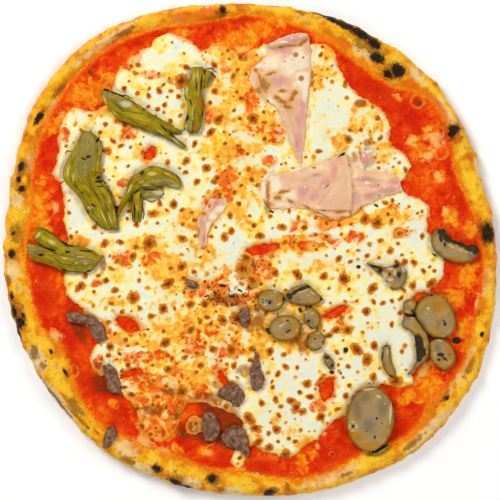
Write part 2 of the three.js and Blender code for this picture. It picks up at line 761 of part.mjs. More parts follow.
for (const [name, bracts] of Object.entries(ARTICHOKES)) {
  lay(name, "artichoke", joined(bracts.map(makeBract)));
}
for (const [name, slice] of Object.entries(HAM)) lay(name, "ham", makeHam(slice));
for (const [name, slice] of Object.entries(MUSHROOM_SLICES)) {
  lay(name, "mushroom", makeMushroomSlice(slice));
}
for (const [name, stations] of Object.entries(MUSHROOM_CRESCENTS)) {
  lay(name, "mushroom", makeMushroomCrescent(stations));
}
for (const [name, stations] of Object.entries(ANCHOVIES)) lay(name, "anchovy", makeAnchovy(stations));
for (const [name, oval] of Object.entries(CHEESE_DROPS)) {
  const outline = ovalOf(oval, 12);
  const drop = plate(outline, BED, BED + CHEESE_THICKNESS, CHEESE_ROUNDING);
  lay(name, "mozzarella", { body: solidOf(settled(drop)), outlines: [outline] });
}

const pizza = new THREE.Group();
pizza.add(nodeOf("crust", "crust", makeCrust()));
pizza.add(nodeOf("tomato_sauce", "tomato_sauce", makeSauce()));
pizza.add(nodeOf("mozzarella", "mozzarella", clearOfRest(makeCheese())));
for (const { name, finish, solid } of laid) pizza.add(nodeOf(name, finish, solid));

// The origin is under the middle of the base.
const box = new THREE.Box3().setFromObject(pizza);
const middle = box.getCenter(new THREE.Vector3());
pizza.children.forEach((node) => node.position.set(-middle.x, -middle.y, 0));

export default pizza;
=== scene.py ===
# A four seasons pizza, whole and uncut, seen from straight above: a thin charred crust, tomato sauce,
# melted mozzarella, and artichokes, cooked ham, mushrooms and anchovies laid on it.

import math
import random

import bmesh
import bpy
import numpy as np
from mathutils import Matrix, Vector, noise
from mathutils.bvhtree import BVHTree
from mathutils.kdtree import KDTree


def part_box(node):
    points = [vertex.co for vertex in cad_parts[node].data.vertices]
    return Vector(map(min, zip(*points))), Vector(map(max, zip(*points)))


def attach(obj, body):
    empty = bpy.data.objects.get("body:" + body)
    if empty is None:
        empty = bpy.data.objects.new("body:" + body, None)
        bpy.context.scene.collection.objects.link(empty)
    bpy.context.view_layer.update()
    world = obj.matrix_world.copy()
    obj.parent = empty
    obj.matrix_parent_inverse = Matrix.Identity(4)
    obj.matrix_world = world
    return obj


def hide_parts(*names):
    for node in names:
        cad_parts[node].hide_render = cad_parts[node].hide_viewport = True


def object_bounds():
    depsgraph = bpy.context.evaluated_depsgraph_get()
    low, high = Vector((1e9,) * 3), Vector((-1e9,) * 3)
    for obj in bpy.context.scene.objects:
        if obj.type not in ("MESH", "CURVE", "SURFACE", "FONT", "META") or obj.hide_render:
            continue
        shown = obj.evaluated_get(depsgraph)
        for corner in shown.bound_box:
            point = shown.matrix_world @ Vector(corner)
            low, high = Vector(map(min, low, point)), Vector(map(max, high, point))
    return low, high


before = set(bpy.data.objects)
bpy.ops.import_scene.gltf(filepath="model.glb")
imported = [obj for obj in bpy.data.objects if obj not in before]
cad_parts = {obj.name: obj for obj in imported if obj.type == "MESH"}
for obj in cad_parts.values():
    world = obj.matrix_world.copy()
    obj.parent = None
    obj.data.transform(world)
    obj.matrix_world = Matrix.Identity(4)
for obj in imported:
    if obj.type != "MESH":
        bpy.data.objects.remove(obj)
solid_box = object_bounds()

# ---------------------------------------------------------------- table, light and camera
# The pizza lies on a plain pale table under three soft lamps and the room's even light.
# The camera hangs straight over it, far enough up for the rim to look flat.

MM = 0.001
FRAME_WIDTH = 324 * MM  # what the camera sees across, at the height of the toppings
TOPPING_LEVEL = 9 * MM
CAMERA_HEIGHT = 1.1
LAMPS = [  # place, width across and power: a window at the upper left and two softer lamps
    ((-0.62, 0.7, 0.85), 0.6, 11.4),
    ((0.95, 0.25, 0.85), 0.8, 6.9),
    ((-0.1, -0.95, 0.85), 0.8, 5.6),
]
ROOM_LIGHT = 0.16
TABLE_SIZE = 12.0


def tint(red, green, blue):
    """A colour by its screen levels, 0 to 255, in the linear light that shaders work in."""
    levels = [level / 255 for level in (red, green, blue)]
    return (*[c / 12.92 if c <= 0.04045 else ((c + 0.055) / 1.055) ** 2.4 for c in levels], 1.0)


def placed(name, data):
    """A new object in the scene that holds a mesh, a lamp or a camera."""
    made = bpy.data.objects.new(name, data)
    bpy.context.scene.collection.objects.link(made)
    return made


def mesh_from(shape, name):
    mesh = bpy.data.meshes.new(name)
    shape.to_mesh(mesh)
    shape.free()
    return mesh


class Value:
    """A number or colour that varies over a surface. Arithmetic on it adds nodes to its finish."""

    def __init__(self, finish, socket):
        self.finish = finish
        self.socket = socket

    def maths(self, operation, first, second):
        return self.finish.node("ShaderNodeMath", {"operation": operation}, {0: first, 1: second})

    def __add__(self, other):
        return self.maths("ADD", self, other)

    def __sub__(self, other):
        return self.maths("SUBTRACT", self, other)

    def __rsub__(self, other):
        return self.maths("SUBTRACT", other, self)

    def __mul__(self, other):
        return self.maths("MULTIPLY", self, other)

    __radd__ = __add__
    __rmul__ = __mul__

    def past(self, start, full):
        """0 before start, 1 past full, and a soft step between them. Full may be the lower one."""
        settings = {"interpolation_type": "SMOOTHSTEP"}
        return self.finish.node("ShaderNodeMapRange", settings, {0: self, 1: start, 2: full})


class Finish:
    """A material, painted in layers. A layer shows by a sum of weights, given as name=weight. The names
    are the finish's own noises, and fields, which are numbers that the mesh carries at its points."""

    def __init__(self, name, rough, shade=(231, 231, 231), lit=0.0, reach=(1, 1, 1), shine=0.12):
        """Lit is how much light goes into it, and reach how many millimetres its red, green and blue go."""
        self.material = bpy.data.materials.new(name)
        self.material.use_nodes = True
        self.tree = self.material.node_tree
        self.skin = self.tree.nodes["Principled BSDF"]
        self.noises = {}
        sockets = {"Roughness": rough, "Base Color": tint(*shade), "Specular IOR Level": shine}
        sockets |= {"Subsurface Weight": lit, "Subsurface Radius": [way * MM for way in reach]}
        for socket, value in sockets.items():
            self.skin.inputs[socket].default_value = value

    def node(self, kind, settings, sockets, output=0):
        made = self.tree.nodes.new(kind)
        for key, setting in settings.items():
            setattr(made, key, setting)
        for key, value in sockets.items():
            if isinstance(value, Value):
                self.tree.links.new(value.socket, made.inputs[key])
            else:
                made.inputs[key].default_value = value
        return Value(self, made.outputs[output])

    def field(self, name):
        return self.node("ShaderNodeAttribute", {"attribute_name": name}, {}, "Fac")

    def place(self):
        return self.node("ShaderNodeTexCoord", {}, {}, "Object")

    def cloud(self, size, detail, swirl=0.0, where=None):
        """Cloudy noise from 0 to 1, its blotches about size across and drawn out by swirl."""
        sockets = {"Vector": where or self.place(), "Scale": 1 / size, "Detail": detail, "Distortion": swirl}
        return self.node("ShaderNodeTexNoise", {}, sockets, "Fac")

    def clouds(self, **kinds):
        """The finish's noises by name: size in millimetres, detail, and swirl if they have it."""
        for name, (size, *rest) in kinds.items():
            self.noises[name] = self.cloud(size * MM, *rest)
        return self.noises.values()

    def total(self, weights, base=0):
        """Noises, each centred on 0, and fields, added to base by their weights."""
        for name, weight in weights.items():
            part = self.noises[name] - 0.5 if name in self.noises else self.field(name)
            base = base + weight * part
        return base

    def mix(self, share, under, over):
        """One colour over another, each a Value or a shade."""
        colours = [c if isinstance(c, Value) else tint(*c) for c in (under, over)]
        return self.node("ShaderNodeMix", {"data_type": "RGBA"}, {0: share, 6: colours[0], 7: colours[1]}, 2)

    def ramp(self, stops, base=0.5, **weights):
        """A shade by base and the sum of weights. Each stop is a place and the shade there."""
        found = self.node("ShaderNodeValToRGB", {}, {"Fac": self.total(weights, base)})
        elements = found.socket.node.color_ramp.elements
        while len(elements) < len(stops):
            elements.new(0.5)
        for element, (place, *shade) in zip(elements, stops):
            element.position = place
            element.color = tint(*shade)
        return found

    def stain(self, share, shade, start, full, base=0, within=1, **weights):
        """Lays a share of a shade over the colour: none where the sum is at start, all of it at full."""
        shown = self.total(weights, base).past(start, full) * (share * within)
        self.colour = self.mix(shown, self.colour, shade)

    def done(self, rough, height, depth):
        """Shows the colour, a roughness, and a relief whose height from 0 to 1 stands for depth metres."""
        relief = self.node("ShaderNodeBump", {}, {"Height": height, "Distance": depth, "Strength": 1})
        for socket, value in {"Base Color": self.colour, "Roughness": rough, "Normal": relief}.items():
            self.tree.links.new(value.socket, self.skin.inputs[socket])


def piece_from(mesh, name, finish, slot_name, *replaced):
    """A finished mesh becomes a piece of the pizza and stands for the solids that it replaces."""
    piece = placed(name, mesh)
    mesh.materials.clear()
    mesh.materials.append(finish.material)
    mesh.polygons.foreach_set("use_smooth", [True] * len(mesh.polygons))
    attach(piece, "root")
    if replaced:
        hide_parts(*replaced)


shape = bmesh.new()
bmesh.ops.create_grid(shape, x_segments=1, y_segments=1, size=TABLE_SIZE / 2)
table = placed("table", mesh_from(shape, "table"))
table.data.materials.append(Finish("pale_table", 0.6, (253, 253, 252)).material)

for number, (place, width, power) in enumerate(LAMPS):
    light = bpy.data.lights.new(f"soft_lamp_{number}", "AREA")
    light.shape = "DISK"
    light.size = width
    light.energy = power
    holder = placed(f"soft_lamp_{number}", light)
    holder.location = place
    holder.rotation_euler = (-Vector(place)).to_track_quat("-Z", "Y").to_euler()
room = bpy.data.worlds.new("room")
room.use_nodes = True
room.node_tree.nodes["Background"].inputs["Color"].default_value = (1, 1, 1, 1)
room.node_tree.nodes["Background"].inputs["Strength"].default_value = ROOM_LIGHT
bpy.context.scene.world = room
bpy.context.scene.view_settings.view_transform = "Standard"

camera = placed("camera", bpy.data.cameras.new("camera"))
camera.data.sensor_width = 36
camera.data.lens = camera.data.sensor_width * (CAMERA_HEIGHT - TOPPING_LEVEL) / FRAME_WIDTH
camera.location = (0, 0, CAMERA_HEIGHT)
bpy.context.scene.camera = camera

# ---------------------------------------------------------------- crust
# One round of wheat dough, stretched thin by hand so that its edge puffs up in the oven.
# The rim is oiled yellow inside and floury outside, blistered, and black where it met the fire.

CRUST_FINENESS = 3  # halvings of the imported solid's facets
STRAIGHT = math.radians(50)  # facets that meet at less than this are joined before it is halved
RIM_LUMP = 1.1 * MM
RIM_WRINKLE = 0.45 * MM
BUBBLE_SCATTER = 260
SEED = 11

# Places are read off a plan seen from above, x to the right and y down, of this many metres a unit.
PLAN_UNIT = 0.64 * MM
PLAN_CENTRE = (250, 249)

# Marks round the pizza: degrees round it, reach from its middle, half-length along the rim and
# half-width across it, all in plan units.
RIM_MARKS = {
    "char": [
        (4.2, 241, 11, 6), (12, 228, 2, 1.5), (30.5, 237, 6, 8), (29.5, 229, 4, 5), (40.8, 227, 6, 2.6),
        (50.5, 235, 8, 7), (52, 226, 5, 4), (56.5, 233, 8, 5), (59, 244, 8, 5), (63, 246, 12, 5),
        (67, 247, 10, 4), (70, 248, 8, 3), (96.5, 245, 3, 4.5), (132, 243, 3, 4), (160, 246.5, 5, 3),
        (165, 239, 3, 3.5), (163, 244, 4, 2.5), (181, 241, 4, 3), (176, 240, 2, 2), (191, 246, 5, 2),
        (194.5, 247, 7, 3), (197.5, 244, 6, 5), (196, 239, 3, 2), (207, 226, 3, 1.6), (213.5, 224, 5, 1.6),
        (247, 240, 4.5, 4), (252, 246, 7, 3), (255, 249, 6, 3), (260.5, 234, 4.5, 4.5), (274.5, 246, 5, 4),
        (323, 249, 4, 2), (72, 252, 16, 4), (200, 251, 10, 3), (340, 250, 3, 2), (148, 252, 8, 3),
    ],
    "brown": [
        (4, 236, 16, 10), (30, 232, 12, 16), (41, 227, 10, 5), (52, 231, 16, 12), (60, 238, 26, 10),
        (78, 246, 10, 3), (97, 241, 10, 8), (132, 242, 8, 6), (160, 244, 12, 6), (165, 240, 8, 7),
        (176, 238, 14, 9), (181, 241, 8, 6), (187, 247, 10, 4), (196, 243, 22, 9), (206, 244, 7, 6),
        (209, 240, 5, 5), (218, 248, 28, 4), (224, 243, 26, 2.5), (230, 241, 8, 2), (240, 246, 10, 5),
        (247, 240, 8, 8), (252, 243, 14, 8), (261, 236, 10, 9), (263, 244, 6, 4), (275, 245, 9, 6),
        (279, 243, 4, 6), (293, 247, 12, 3), (323, 247, 10, 3), (331, 238, 6, 2), (345, 240, 6, 3),
        (222, 238, 18, 7), (205, 240, 10, 5), (84, 250, 12, 3), (120, 254, 20, 4), (140, 252, 14, 4),
        (310, 256, 20, 4), (332, 252, 16, 4),
    ],
    "creamy": [
        (20, 245, 12, 4), (36, 240, 22, 8), (46, 244, 14, 5), (60, 230, 20, 4), (107, 244, 8, 6),
        (144, 244, 9, 8), (158, 240, 12, 6), (168, 240, 8, 8), (185, 242, 11, 8), (207, 242, 16, 10),
        (218, 246, 30, 6), (238, 236, 14, 10), (244, 246, 12, 6), (256, 243, 12, 7), (266, 245, 14, 6),
        (290, 244, 34, 6), (330, 247, 30, 4), (352, 240, 16, 6), (125, 256, 40, 5), (315, 257, 40, 6),
    ],
    "yellow": [
        (16, 232, 26, 10), (60, 236, 30, 6), (84, 244, 24, 6), (150, 246, 14, 4), (172, 236, 20, 8),
        (204, 220, 12, 8), (218, 234, 40, 5), (232, 228, 20, 6), (256, 231, 22, 6), (269, 242, 12, 10),
        (352, 244, 20, 6), (340, 246, 14, 5), (196, 233, 24, 4), (40, 246, 30, 4), (120, 249, 30, 4),
        (300, 246, 20, 5),
    ],
    "smeared": [
        (28, 238, 5, 6), (38, 236, 22, 8), (150, 241, 10, 8), (134, 240, 22, 12), (100, 242, 18, 8),
        (312, 246, 26, 6), (322, 242, 16, 6), (330, 238, 20, 5), (352, 234, 12, 4), (44, 231, 20, 8),
        (106, 246, 12, 5), (6, 233, 14, 4), (66, 230, 14, 4), (122, 246, 30, 8),
    ],
}
RIM_BUBBLES = [  # plan x, y, half-width in plan units, height in millimetres
    (420, 98, 8, 2.4), (452, 132, 14, 3.2), (210, 12, 13, 1.8), (488, 231, 11, 2.2), (475, 160, 12, 1.6),
    (20, 178, 11, 1.6), (12, 242, 10, 1.2), (50, 341, 12, 1.8), (66, 373, 8, 1.6), (126, 455, 13, 1.8),
    (178, 478, 11, 1.5), (213, 479, 8, 1.8), (360, 34, 14, 1.4), (390, 66, 13, 1.8), (300, 486, 12, 1.0),
    (243, 487, 14, 1.4), (12, 312, 10, 1.3), (350, 474, 10, 1.1), (440, 408, 13, 1.3),
]


def plan(x, y):
    return np.array([(x - PLAN_CENTRE[0]) * PLAN_UNIT, (PLAN_CENTRE[1] - y) * PLAN_UNIT])


def oval_reach(points, centre, across, down, turn=0.0):
    """How far out points lie from an oval's middle, 1 at its edge. Turn is in radians."""
    away = points[:, :2] - centre
    along = away[:, 0] * math.cos(turn) + away[:, 1] * math.sin(turn)
    aside = away[:, 1] * math.cos(turn) - away[:, 0] * math.sin(turn)
    return np.hypot(along / across, aside / down)


def inside_ovals(points, ovals):
    """How deep each point lies in the nearest oval: 1 at its middle, 0 at its edge, down to -1.
    Ovals are plan x, y, half-widths across and down, and a turn in degrees if they have one."""
    deepest = np.full(len(points), -1.0)
    for x, y, across, down, *turn in ovals:
        halves = (across * PLAN_UNIT, down * PLAN_UNIT)
        reach = oval_reach(points, plan(x, y), *halves, math.radians(turn[0] if turn else 0))
        deepest = np.maximum(deepest, 1 - reach)
    return deepest


def round_the_rim(marks):
    """Marks given by degrees and reach, as ovals on the plan that lie along the rim."""
    ovals = []
    for degrees, reach, along, across in marks:
        x = PLAN_CENTRE[0] + reach * math.cos(math.radians(degrees))
        y = PLAN_CENTRE[1] - reach * math.sin(math.radians(degrees))
        ovals.append((x, y, along, across, degrees + 90))
    return ovals


def uneven(points, size, octaves=2, shift=0.0):
    """Smooth unevenness from about -1 to 1, its lumps about size metres across."""
    step = Vector((shift, 2 * shift, 3 * shift))
    return np.array([noise.fractal(Vector(p) / size + step, 0.8, 2.0, octaves) for p in points])


def points_of(mesh, kind="co"):
    """A mesh's points, or with kind "normal" the way that it faces at each of them."""
    points = np.empty(len(mesh.vertices) * 3)
    mesh.vertices.foreach_get(kind, points)
    return points.reshape(-1, 3)


def put_points(mesh, points):
    mesh.vertices.foreach_set("co", points.ravel())
    mesh.update()


def put_fields(mesh, points, marks, **fields):
    """Gives a mesh the fields that its finish reads: how deep each point lies in each kind of mark,
    and any others."""
    for name, ovals in marks.items():
        fields[name] = inside_ovals(points, ovals)
    for name, values in fields.items():
        mesh.attributes.new(name, "FLOAT", "POINT").data.foreach_set("value", values)


def merged_copy(node):
    """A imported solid's own mesh, with its loose triangles joined."""
    shape = bmesh.new()
    shape.from_mesh(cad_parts[node].data)
    bmesh.ops.remove_doubles(shape, verts=shape.verts, dist=0.001 * MM)
    return shape


def outline_of(node):
    """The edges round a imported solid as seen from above: pairs of points, in metres."""
    shape = merged_copy(node)
    shape.normal_update()
    pairs = []
    for edge in shape.edges:
        faces_up = [face.normal.z > 0.02 for face in edge.link_faces]
        if len(faces_up) == 2 and faces_up[0] != faces_up[1]:
            pairs.append([edge.verts[0].co.xy[:], edge.verts[1].co.xy[:]])
    shape.free()
    return np.array(pairs)


def inset_from(points, pairs):
    """Each point's distance to the nearest edge, positive inside, and the nearest point on that edge."""
    start = pairs[:, 0]
    run = pairs[:, 1] - start
    count = np.ceil(np.hypot(*run.T) / (0.4 * MM)).astype(int)
    owner = np.repeat(np.arange(len(pairs)), count)
    order = np.concatenate([np.arange(number) + 0.5 for number in count])
    marks = start[owner] + run[owner] * (order / count[owner])[:, None]
    tree = KDTree(len(marks))
    for index, (x, y) in enumerate(marks):
        tree.insert((x, y, 0), index)
    tree.balance()
    edge = owner[[tree.find((x, y, 0))[1] for x, y in points[:, :2]]]
    away = points[:, :2] - start[edge]
    share = (away * run[edge]).sum(axis=1) / np.maximum((run[edge] ** 2).sum(axis=1), 1e-16)
    foot = start[edge] + np.clip(share, 0, 1)[:, None] * run[edge]
    crossings = np.zeros(len(points), dtype=int)
    for (x, y), (dx, dy) in zip(start, run):
        level = (y > points[:, 1]) != (y + dy > points[:, 1])
        crossings[level] += points[level, 0] < x + (points[level, 1] - y) * dx / dy
    side = np.where(crossings % 2 == 1, 1, -1)
    return side * np.hypot(*(points[:, :2] - foot).T), foot


random.seed(SEED)
shape = merged_copy("crust")
bmesh.ops.join_triangles(
    shape, faces=shape.faces, angle_face_threshold=STRAIGHT, angle_shape_threshold=STRAIGHT
)
crust_blank = placed("crust_blank", mesh_from(shape, "crust"))
halving = crust_blank.modifiers.new("halving", "SUBSURF")
halving.levels = CRUST_FINENESS
halving.render_levels = CRUST_FINENESS
depsgraph = bpy.context.evaluated_depsgraph_get()
crust_mesh = bpy.data.meshes.new_from_object(crust_blank.evaluated_get(depsgraph))
bpy.data.objects.remove(crust_blank)

points = points_of(crust_mesh)
sauce_outline = outline_of("tomato_sauce")
past_sauce = -inset_from(points, sauce_outline)[0]
bare = np.clip(past_sauce / (3 * MM), 0, 1) * np.clip(points[:, 2] / (2 * MM), 0, 1)
lumps = RIM_LUMP * uneven(points, 11 * MM, 2, 3.1) + RIM_WRINKLE * uneven(points, 3.5 * MM, 3, 7.7)
for x, y, half, rise in RIM_BUBBLES:
    away = oval_reach(points, plan(x, y), half * PLAN_UNIT, half * PLAN_UNIT)
    lumps += rise * MM * np.clip(1 - away**2, 0, 1) ** 1.5
for _ in range(BUBBLE_SCATTER):
    angle = random.uniform(0, 2 * math.pi)
    centre = np.array([math.cos(angle), math.sin(angle)]) * random.uniform(148, 168) * MM
    half = random.uniform(1.2, 3.6) * MM
    lumps += 0.28 * half * np.clip(1 - oval_reach(points, centre, half, half) ** 2, 0, 1) ** 1.2
points += points_of(crust_mesh, "normal") * (bare * lumps)[:, None]
points[:, 2] = np.maximum(points[:, 2], 0)
points = np.clip(points, *np.array(solid_box))
put_points(crust_mesh, points)
rim_ovals = {name: round_the_rim(marks) for name, marks in RIM_MARKS.items()}
put_fields(crust_mesh, points, rim_ovals, outward=past_sauce / (16 * MM), height=points[:, 2] / (12 * MM))

dough = Finish("baked_dough", 0.72, lit=0.05, reach=(3, 1.5, 0.6))
_, patch, speck, grain, freckle, leopard = dough.clouds(
    blotch=(11, 4), patch=(4.5, 4), speck=(1.8, 4), grain=(0.8, 3), freckle=(1.5, 2), leopard=(13, 4)
)
outward = dough.field("outward")
floury = dough.total({"outward": 1, "creamy": 0.9, "blotch": 0.8, "patch": 0.6}).past(0.85, 1.35)
oiled_stops = [
    (0.24, 196, 98, 2), (0.4, 224, 136, 4), (0.5, 242, 170, 12), (0.6, 250, 192, 34), (0.76, 240, 192, 92),
]
dry_stops = [
    (0.22, 168, 104, 40), (0.38, 208, 152, 76), (0.52, 232, 192, 122), (0.68, 240, 210, 152),
    (0.85, 226, 182, 112),
]
oiled = dough.ramp(oiled_stops, blotch=1, patch=0.6, speck=0.12)
dough.colour = dough.mix(floury, oiled, dough.ramp(dry_stops, blotch=1, patch=0.7, speck=0.15))
dough.stain(0.75, (252, 200, 36), -0.2, 0.5, yellow=1, patch=0.9, speck=0.6)
dough.stain(0.7, (238, 206, 140), -0.15, 0.45, creamy=1, patch=1.3, speck=0.8)
dough.stain(0.8, (234, 92, 6), -0.1, 0.35, smeared=1, patch=1.5, speck=0.8)
dough.stain(0.8, (238, 130, 8), 0.3, -0.05, outward=1, patch=0.7, blotch=0.5)
dough.stain(0.5, (176, 98, 20), 0.06, 0.22, within=outward.past(0.2, 0.5), patch=1, blotch=0.5, speck=0.35)
dough.stain(0.8, (142, 80, 14), 0.0, 0.6, brown=1, patch=1.3, speck=1.4)
dough.stain(0.75, (104, 56, 14), 0.62, 0.7, freckle, within=patch.past(0.52, 0.62))
dough.stain(0.7, (120, 62, 10), -0.5, 0.1, char=1, patch=1.0, speck=1.2)
burnt = dough.ramp([(0.3, 18, 11, 8), (0.6, 44, 27, 16), (0.8, 92, 56, 26)], grain=1, speck=0.8)
dough.stain(1, burnt, -0.1, 0.3, char=1, patch=0.9, speck=1.3)
spotted = dough.mix(leopard.past(0.52, 0.66) * 0.75, (226, 190, 132), (112, 66, 30))
dough.stain(1, spotted, 0.2, 0.02, height=1)
dough.done(0.42 + 0.4 * floury, grain + 0.8 * speck, 0.5 * MM)
piece_from(crust_mesh, "baked_crust", dough, "dough", "crust")

# ---------------------------------------------------------------- tomato sauce
# Crushed tomatoes spread thin with a ladle, up to the rim. It shows as a ring round the cheese,
# pulpy and wet, orange where oil has run into it, with rings where it bubbled.

SAUCE_CELL = 1.35 * MM
SAUCE_PULP = 0.42 * MM
SAUCE_RIM_EDGE = 3 * MM
SAUCE_SKIN = 0.1 * MM  # its least thickness
RING_LIFT = 0.45 * MM

SAUCE_MARKS = {  # round the pizza, as the rim's marks
    "oily": [
        (31, 200, 18, 11), (33, 222, 12, 12), (10, 205, 12, 9), (93, 211, 22, 14), (97, 206, 18, 10),
        (134, 225, 28, 18), (143, 225, 16, 10), (171, 215, 30, 12), (176, 208, 12, 10), (165, 222, 18, 8),
        (228, 209, 6, 5), (242, 204, 28, 12), (257, 209, 9, 6), (266, 225, 12, 6), (284, 222, 7, 13),
        (287, 216, 7, 8), (317, 218, 12, 8), (322, 230, 22, 12), (325, 216, 20, 8), (340, 232, 16, 8),
        (346, 212, 12, 16), (353, 224, 16, 12), (250, 216, 10, 6), (84, 236, 14, 8), (88, 224, 18, 10),
        (108, 230, 14, 8), (21, 208, 8, 6), (46, 216, 6, 4), (148, 236, 14, 8), (72, 226, 10, 5),
        (0, 198, 10, 12), (180, 230, 10, 6), (210, 230, 14, 5), (302, 236, 14, 6), (5, 224, 10, 8),
        (336, 238, 10, 5),
    ],
    "deep": [
        (14, 218, 30, 8), (40, 212, 30, 12), (52, 206, 30, 12), (58, 198, 16, 8), (92, 236, 16, 8),
        (100, 238, 10, 8), (112, 242, 16, 6), (118, 240, 16, 5), (152, 228, 16, 10), (157, 222, 10, 8),
        (163, 202, 14, 5), (185, 212, 18, 10), (193, 215, 18, 14), (200, 222, 12, 8), (213, 214, 14, 8),
        (220, 212, 18, 12), (232, 212, 14, 14), (262, 222, 12, 8), (272, 222, 22, 10), (291, 222, 16, 12),
        (297, 200, 8, 10), (310, 234, 16, 12), (316, 225, 8, 12), (348, 226, 12, 6), (335, 240, 20, 8),
        (226, 204, 18, 12), (251, 204, 10, 14), (206, 204, 14, 8), (22, 220, 18, 7), (263, 212, 10, 8),
    ],
    "pale": [
        (31, 220, 14, 12), (204, 216, 11, 11), (325, 215, 16, 5), (289, 210, 4, 5), (241, 222, 14, 12),
        (247, 224, 12, 9), (238, 210, 8, 8), (11, 203, 8, 6), (21, 206, 9, 6), (46, 217, 6, 3),
        (28, 204, 8, 10), (34, 198, 10, 8), (292, 200, 5, 3), (258, 210, 5, 4), (347, 236, 14, 3),
        (92, 204, 14, 6), (168, 202, 8, 4), (108, 246, 8, 4), (144, 236, 6, 6),
    ],
    "stained": [
        (262, 173, 22, 15), (256, 160, 18, 13), (267, 187, 18, 11), (222, 203, 14, 11), (257, 190, 28, 14),
        (264, 196, 16, 9), (224, 200, 12, 6), (204, 192, 22, 7), (236, 196, 10, 8), (250, 196, 8, 10),
        (41, 227, 7, 3.5), (132, 242, 3, 5),
    ],
}
SAUCE_RINGS = [  # plan x, y, and half-width in plan units, where a bubble rose and burst
    (112, 406, 6), (88, 411, 5), (209, 451, 5), (86, 86, 5), (70, 372, 8), (420, 98, 9), (436, 174, 8),
    (62, 349, 4), (474, 229, 8), (444, 150, 9), (60, 104, 5), (398, 91, 5), (426, 422, 5), (58, 80, 4),
]
SCATTERED_RINGS = 70


def grid_over(node, cell, ragged=0.0, seed=0.0):
    """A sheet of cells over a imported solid, trimmed to its outline as seen from above."""
    low, high = (np.array(corner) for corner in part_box(node))
    middle = (low + high) / 2
    span = high - low + 2 * cell + 2 * ragged
    counts = [max(2, round(span[axis] / cell)) for axis in (0, 1)]
    sheet = bmesh.new()
    place = Matrix.Translation((middle[0], middle[1], 0)) @ Matrix.Diagonal((span[0], span[1], 1, 1))
    bmesh.ops.create_grid(sheet, x_segments=counts[0], y_segments=counts[1], size=0.5, matrix=place)
    places = np.array([vert.co for vert in sheet.verts])
    inset, foot = inset_from(places, outline_of(node))
    outward = (foot - places[:, :2]) / np.where(np.abs(inset) < 1e-7, 1, inset)[:, None]
    inset += ragged * (uneven(places, 4.5 * MM, 1, seed) + 0.5 * uneven(places, 1.6 * MM, 2, seed + 2))
    shift = {vert: way * depth for vert, way, depth in zip(sheet.verts, outward, inset)}
    outside = [vert for vert, depth in zip(sheet.verts, inset) if depth < -0.3 * cell]
    bmesh.ops.delete(sheet, geom=outside, context="VERTS")
    loose = [vert for vert in sheet.verts if not vert.link_faces]
    bmesh.ops.delete(sheet, geom=loose, context="VERTS")
    rim = [vert for vert in sheet.verts if vert.is_boundary]
    for vert in rim:
        vert.co.xy += Vector(np.clip(shift[vert], -1.2 * cell, 1.2 * cell))
    bmesh.ops.remove_doubles(sheet, verts=rim, dist=0.15 * cell)
    return sheet


def close_underneath(sheet, name):
    """Gives a sheet of cells its underside, as a copy of every cell joined on round its edges.
    The second thing returned says which points of the mesh are underneath."""
    layer = sheet.verts.layers.int.new("underside")
    for item in bmesh.ops.extrude_face_region(sheet, geom=sheet.faces[:])["geom"]:
        if isinstance(item, bmesh.types.BMVert):
            item[layer] = 1
            item.co.z -= MM
    bmesh.ops.recalc_face_normals(sheet, faces=sheet.faces)
    mesh = mesh_from(sheet, name)
    lower = np.empty(len(mesh.vertices), dtype=np.int32)
    mesh.attributes["underside"].data.foreach_get("value", lower)
    mesh.attributes.remove(mesh.attributes["underside"])
    return mesh, lower == 1


def top_and_bottom(node, points):
    """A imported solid's top and bottom height at plan points."""
    shape = merged_copy(node)
    tree = BVHTree.FromBMesh(shape)
    shape.free()
    for start, way, level in ((0.1, -1, TOPPING_LEVEL), (-0.1, 1, 0)):
        heights = []
        for x, y in points[:, :2]:
            hit = tree.ray_cast(Vector((x, y, start)), Vector((0, 0, way)))[0]
            heights.append((hit or tree.find_nearest(Vector((x, y, level)))[0]).z)
        yield np.array(heights)


def ends_of(mesh):
    """The points at both ends of each edge of a mesh."""
    ends = np.empty(len(mesh.edges) * 2, dtype=np.int32)
    mesh.edges.foreach_get("vertices", ends)
    return ends.reshape(-1, 2).T


def relaxed(mesh, values, rounds, keep):
    """Values evened out between neighbouring points of a mesh, other than the ones to keep."""
    first, second = ends_of(mesh)
    count = np.bincount(first, minlength=len(values)) + np.bincount(second, minlength=len(values))
    for _ in range(rounds):
        total = np.bincount(first, values[second], len(values))
        total += np.bincount(second, values[first], len(values))
        values = np.where(keep, values, 0.5 * values + 0.5 * total / np.maximum(count, 1))
    return values


sauce_mesh, lower = close_underneath(grid_over("tomato_sauce", SAUCE_CELL), "tomato_sauce")
points = points_of(sauce_mesh)
top, bottom = top_and_bottom("tomato_sauce", points)
inset, _ = inset_from(points, sauce_outline)
cheese_outline = outline_of("mozzarella")
under_cheese, _ = inset_from(points, cheese_outline)
pulp = SAUCE_PULP * (uneven(points, 5 * MM, 3, 1.3) + 0.5 * uneven(points, 1.9 * MM, 2, 5.9))
free = np.clip(-under_cheese / (3 * MM), 0, 1) * np.clip(inset / SAUCE_RIM_EDGE, 0.25, 1)
rings = list(SAUCE_RINGS)
random.seed(SEED + 1)
for _ in range(SCATTERED_RINGS):
    angle = random.uniform(0, 2 * math.pi)
    reach = random.uniform(188, 236)
    x = PLAN_CENTRE[0] + reach * math.cos(angle)
    y = PLAN_CENTRE[1] + reach * math.sin(angle)
    rings.append((x, y, random.uniform(2, 4.4)))
ring = np.full(len(points), 1.0)
ring_lift = np.zeros(len(points))
for x, y, half in rings:
    away = oval_reach(points, plan(x, y), half * PLAN_UNIT, half * PLAN_UNIT)
    ring = np.minimum(ring, np.abs(away - 0.75))
    ring_lift += RING_LIFT * np.exp(-(((away - 0.8) / 0.25) ** 2))
top += free * (pulp + ring_lift)
rounded = np.sqrt(1 - (1 - np.clip(inset / SAUCE_RIM_EDGE, 0, 1)) ** 2)
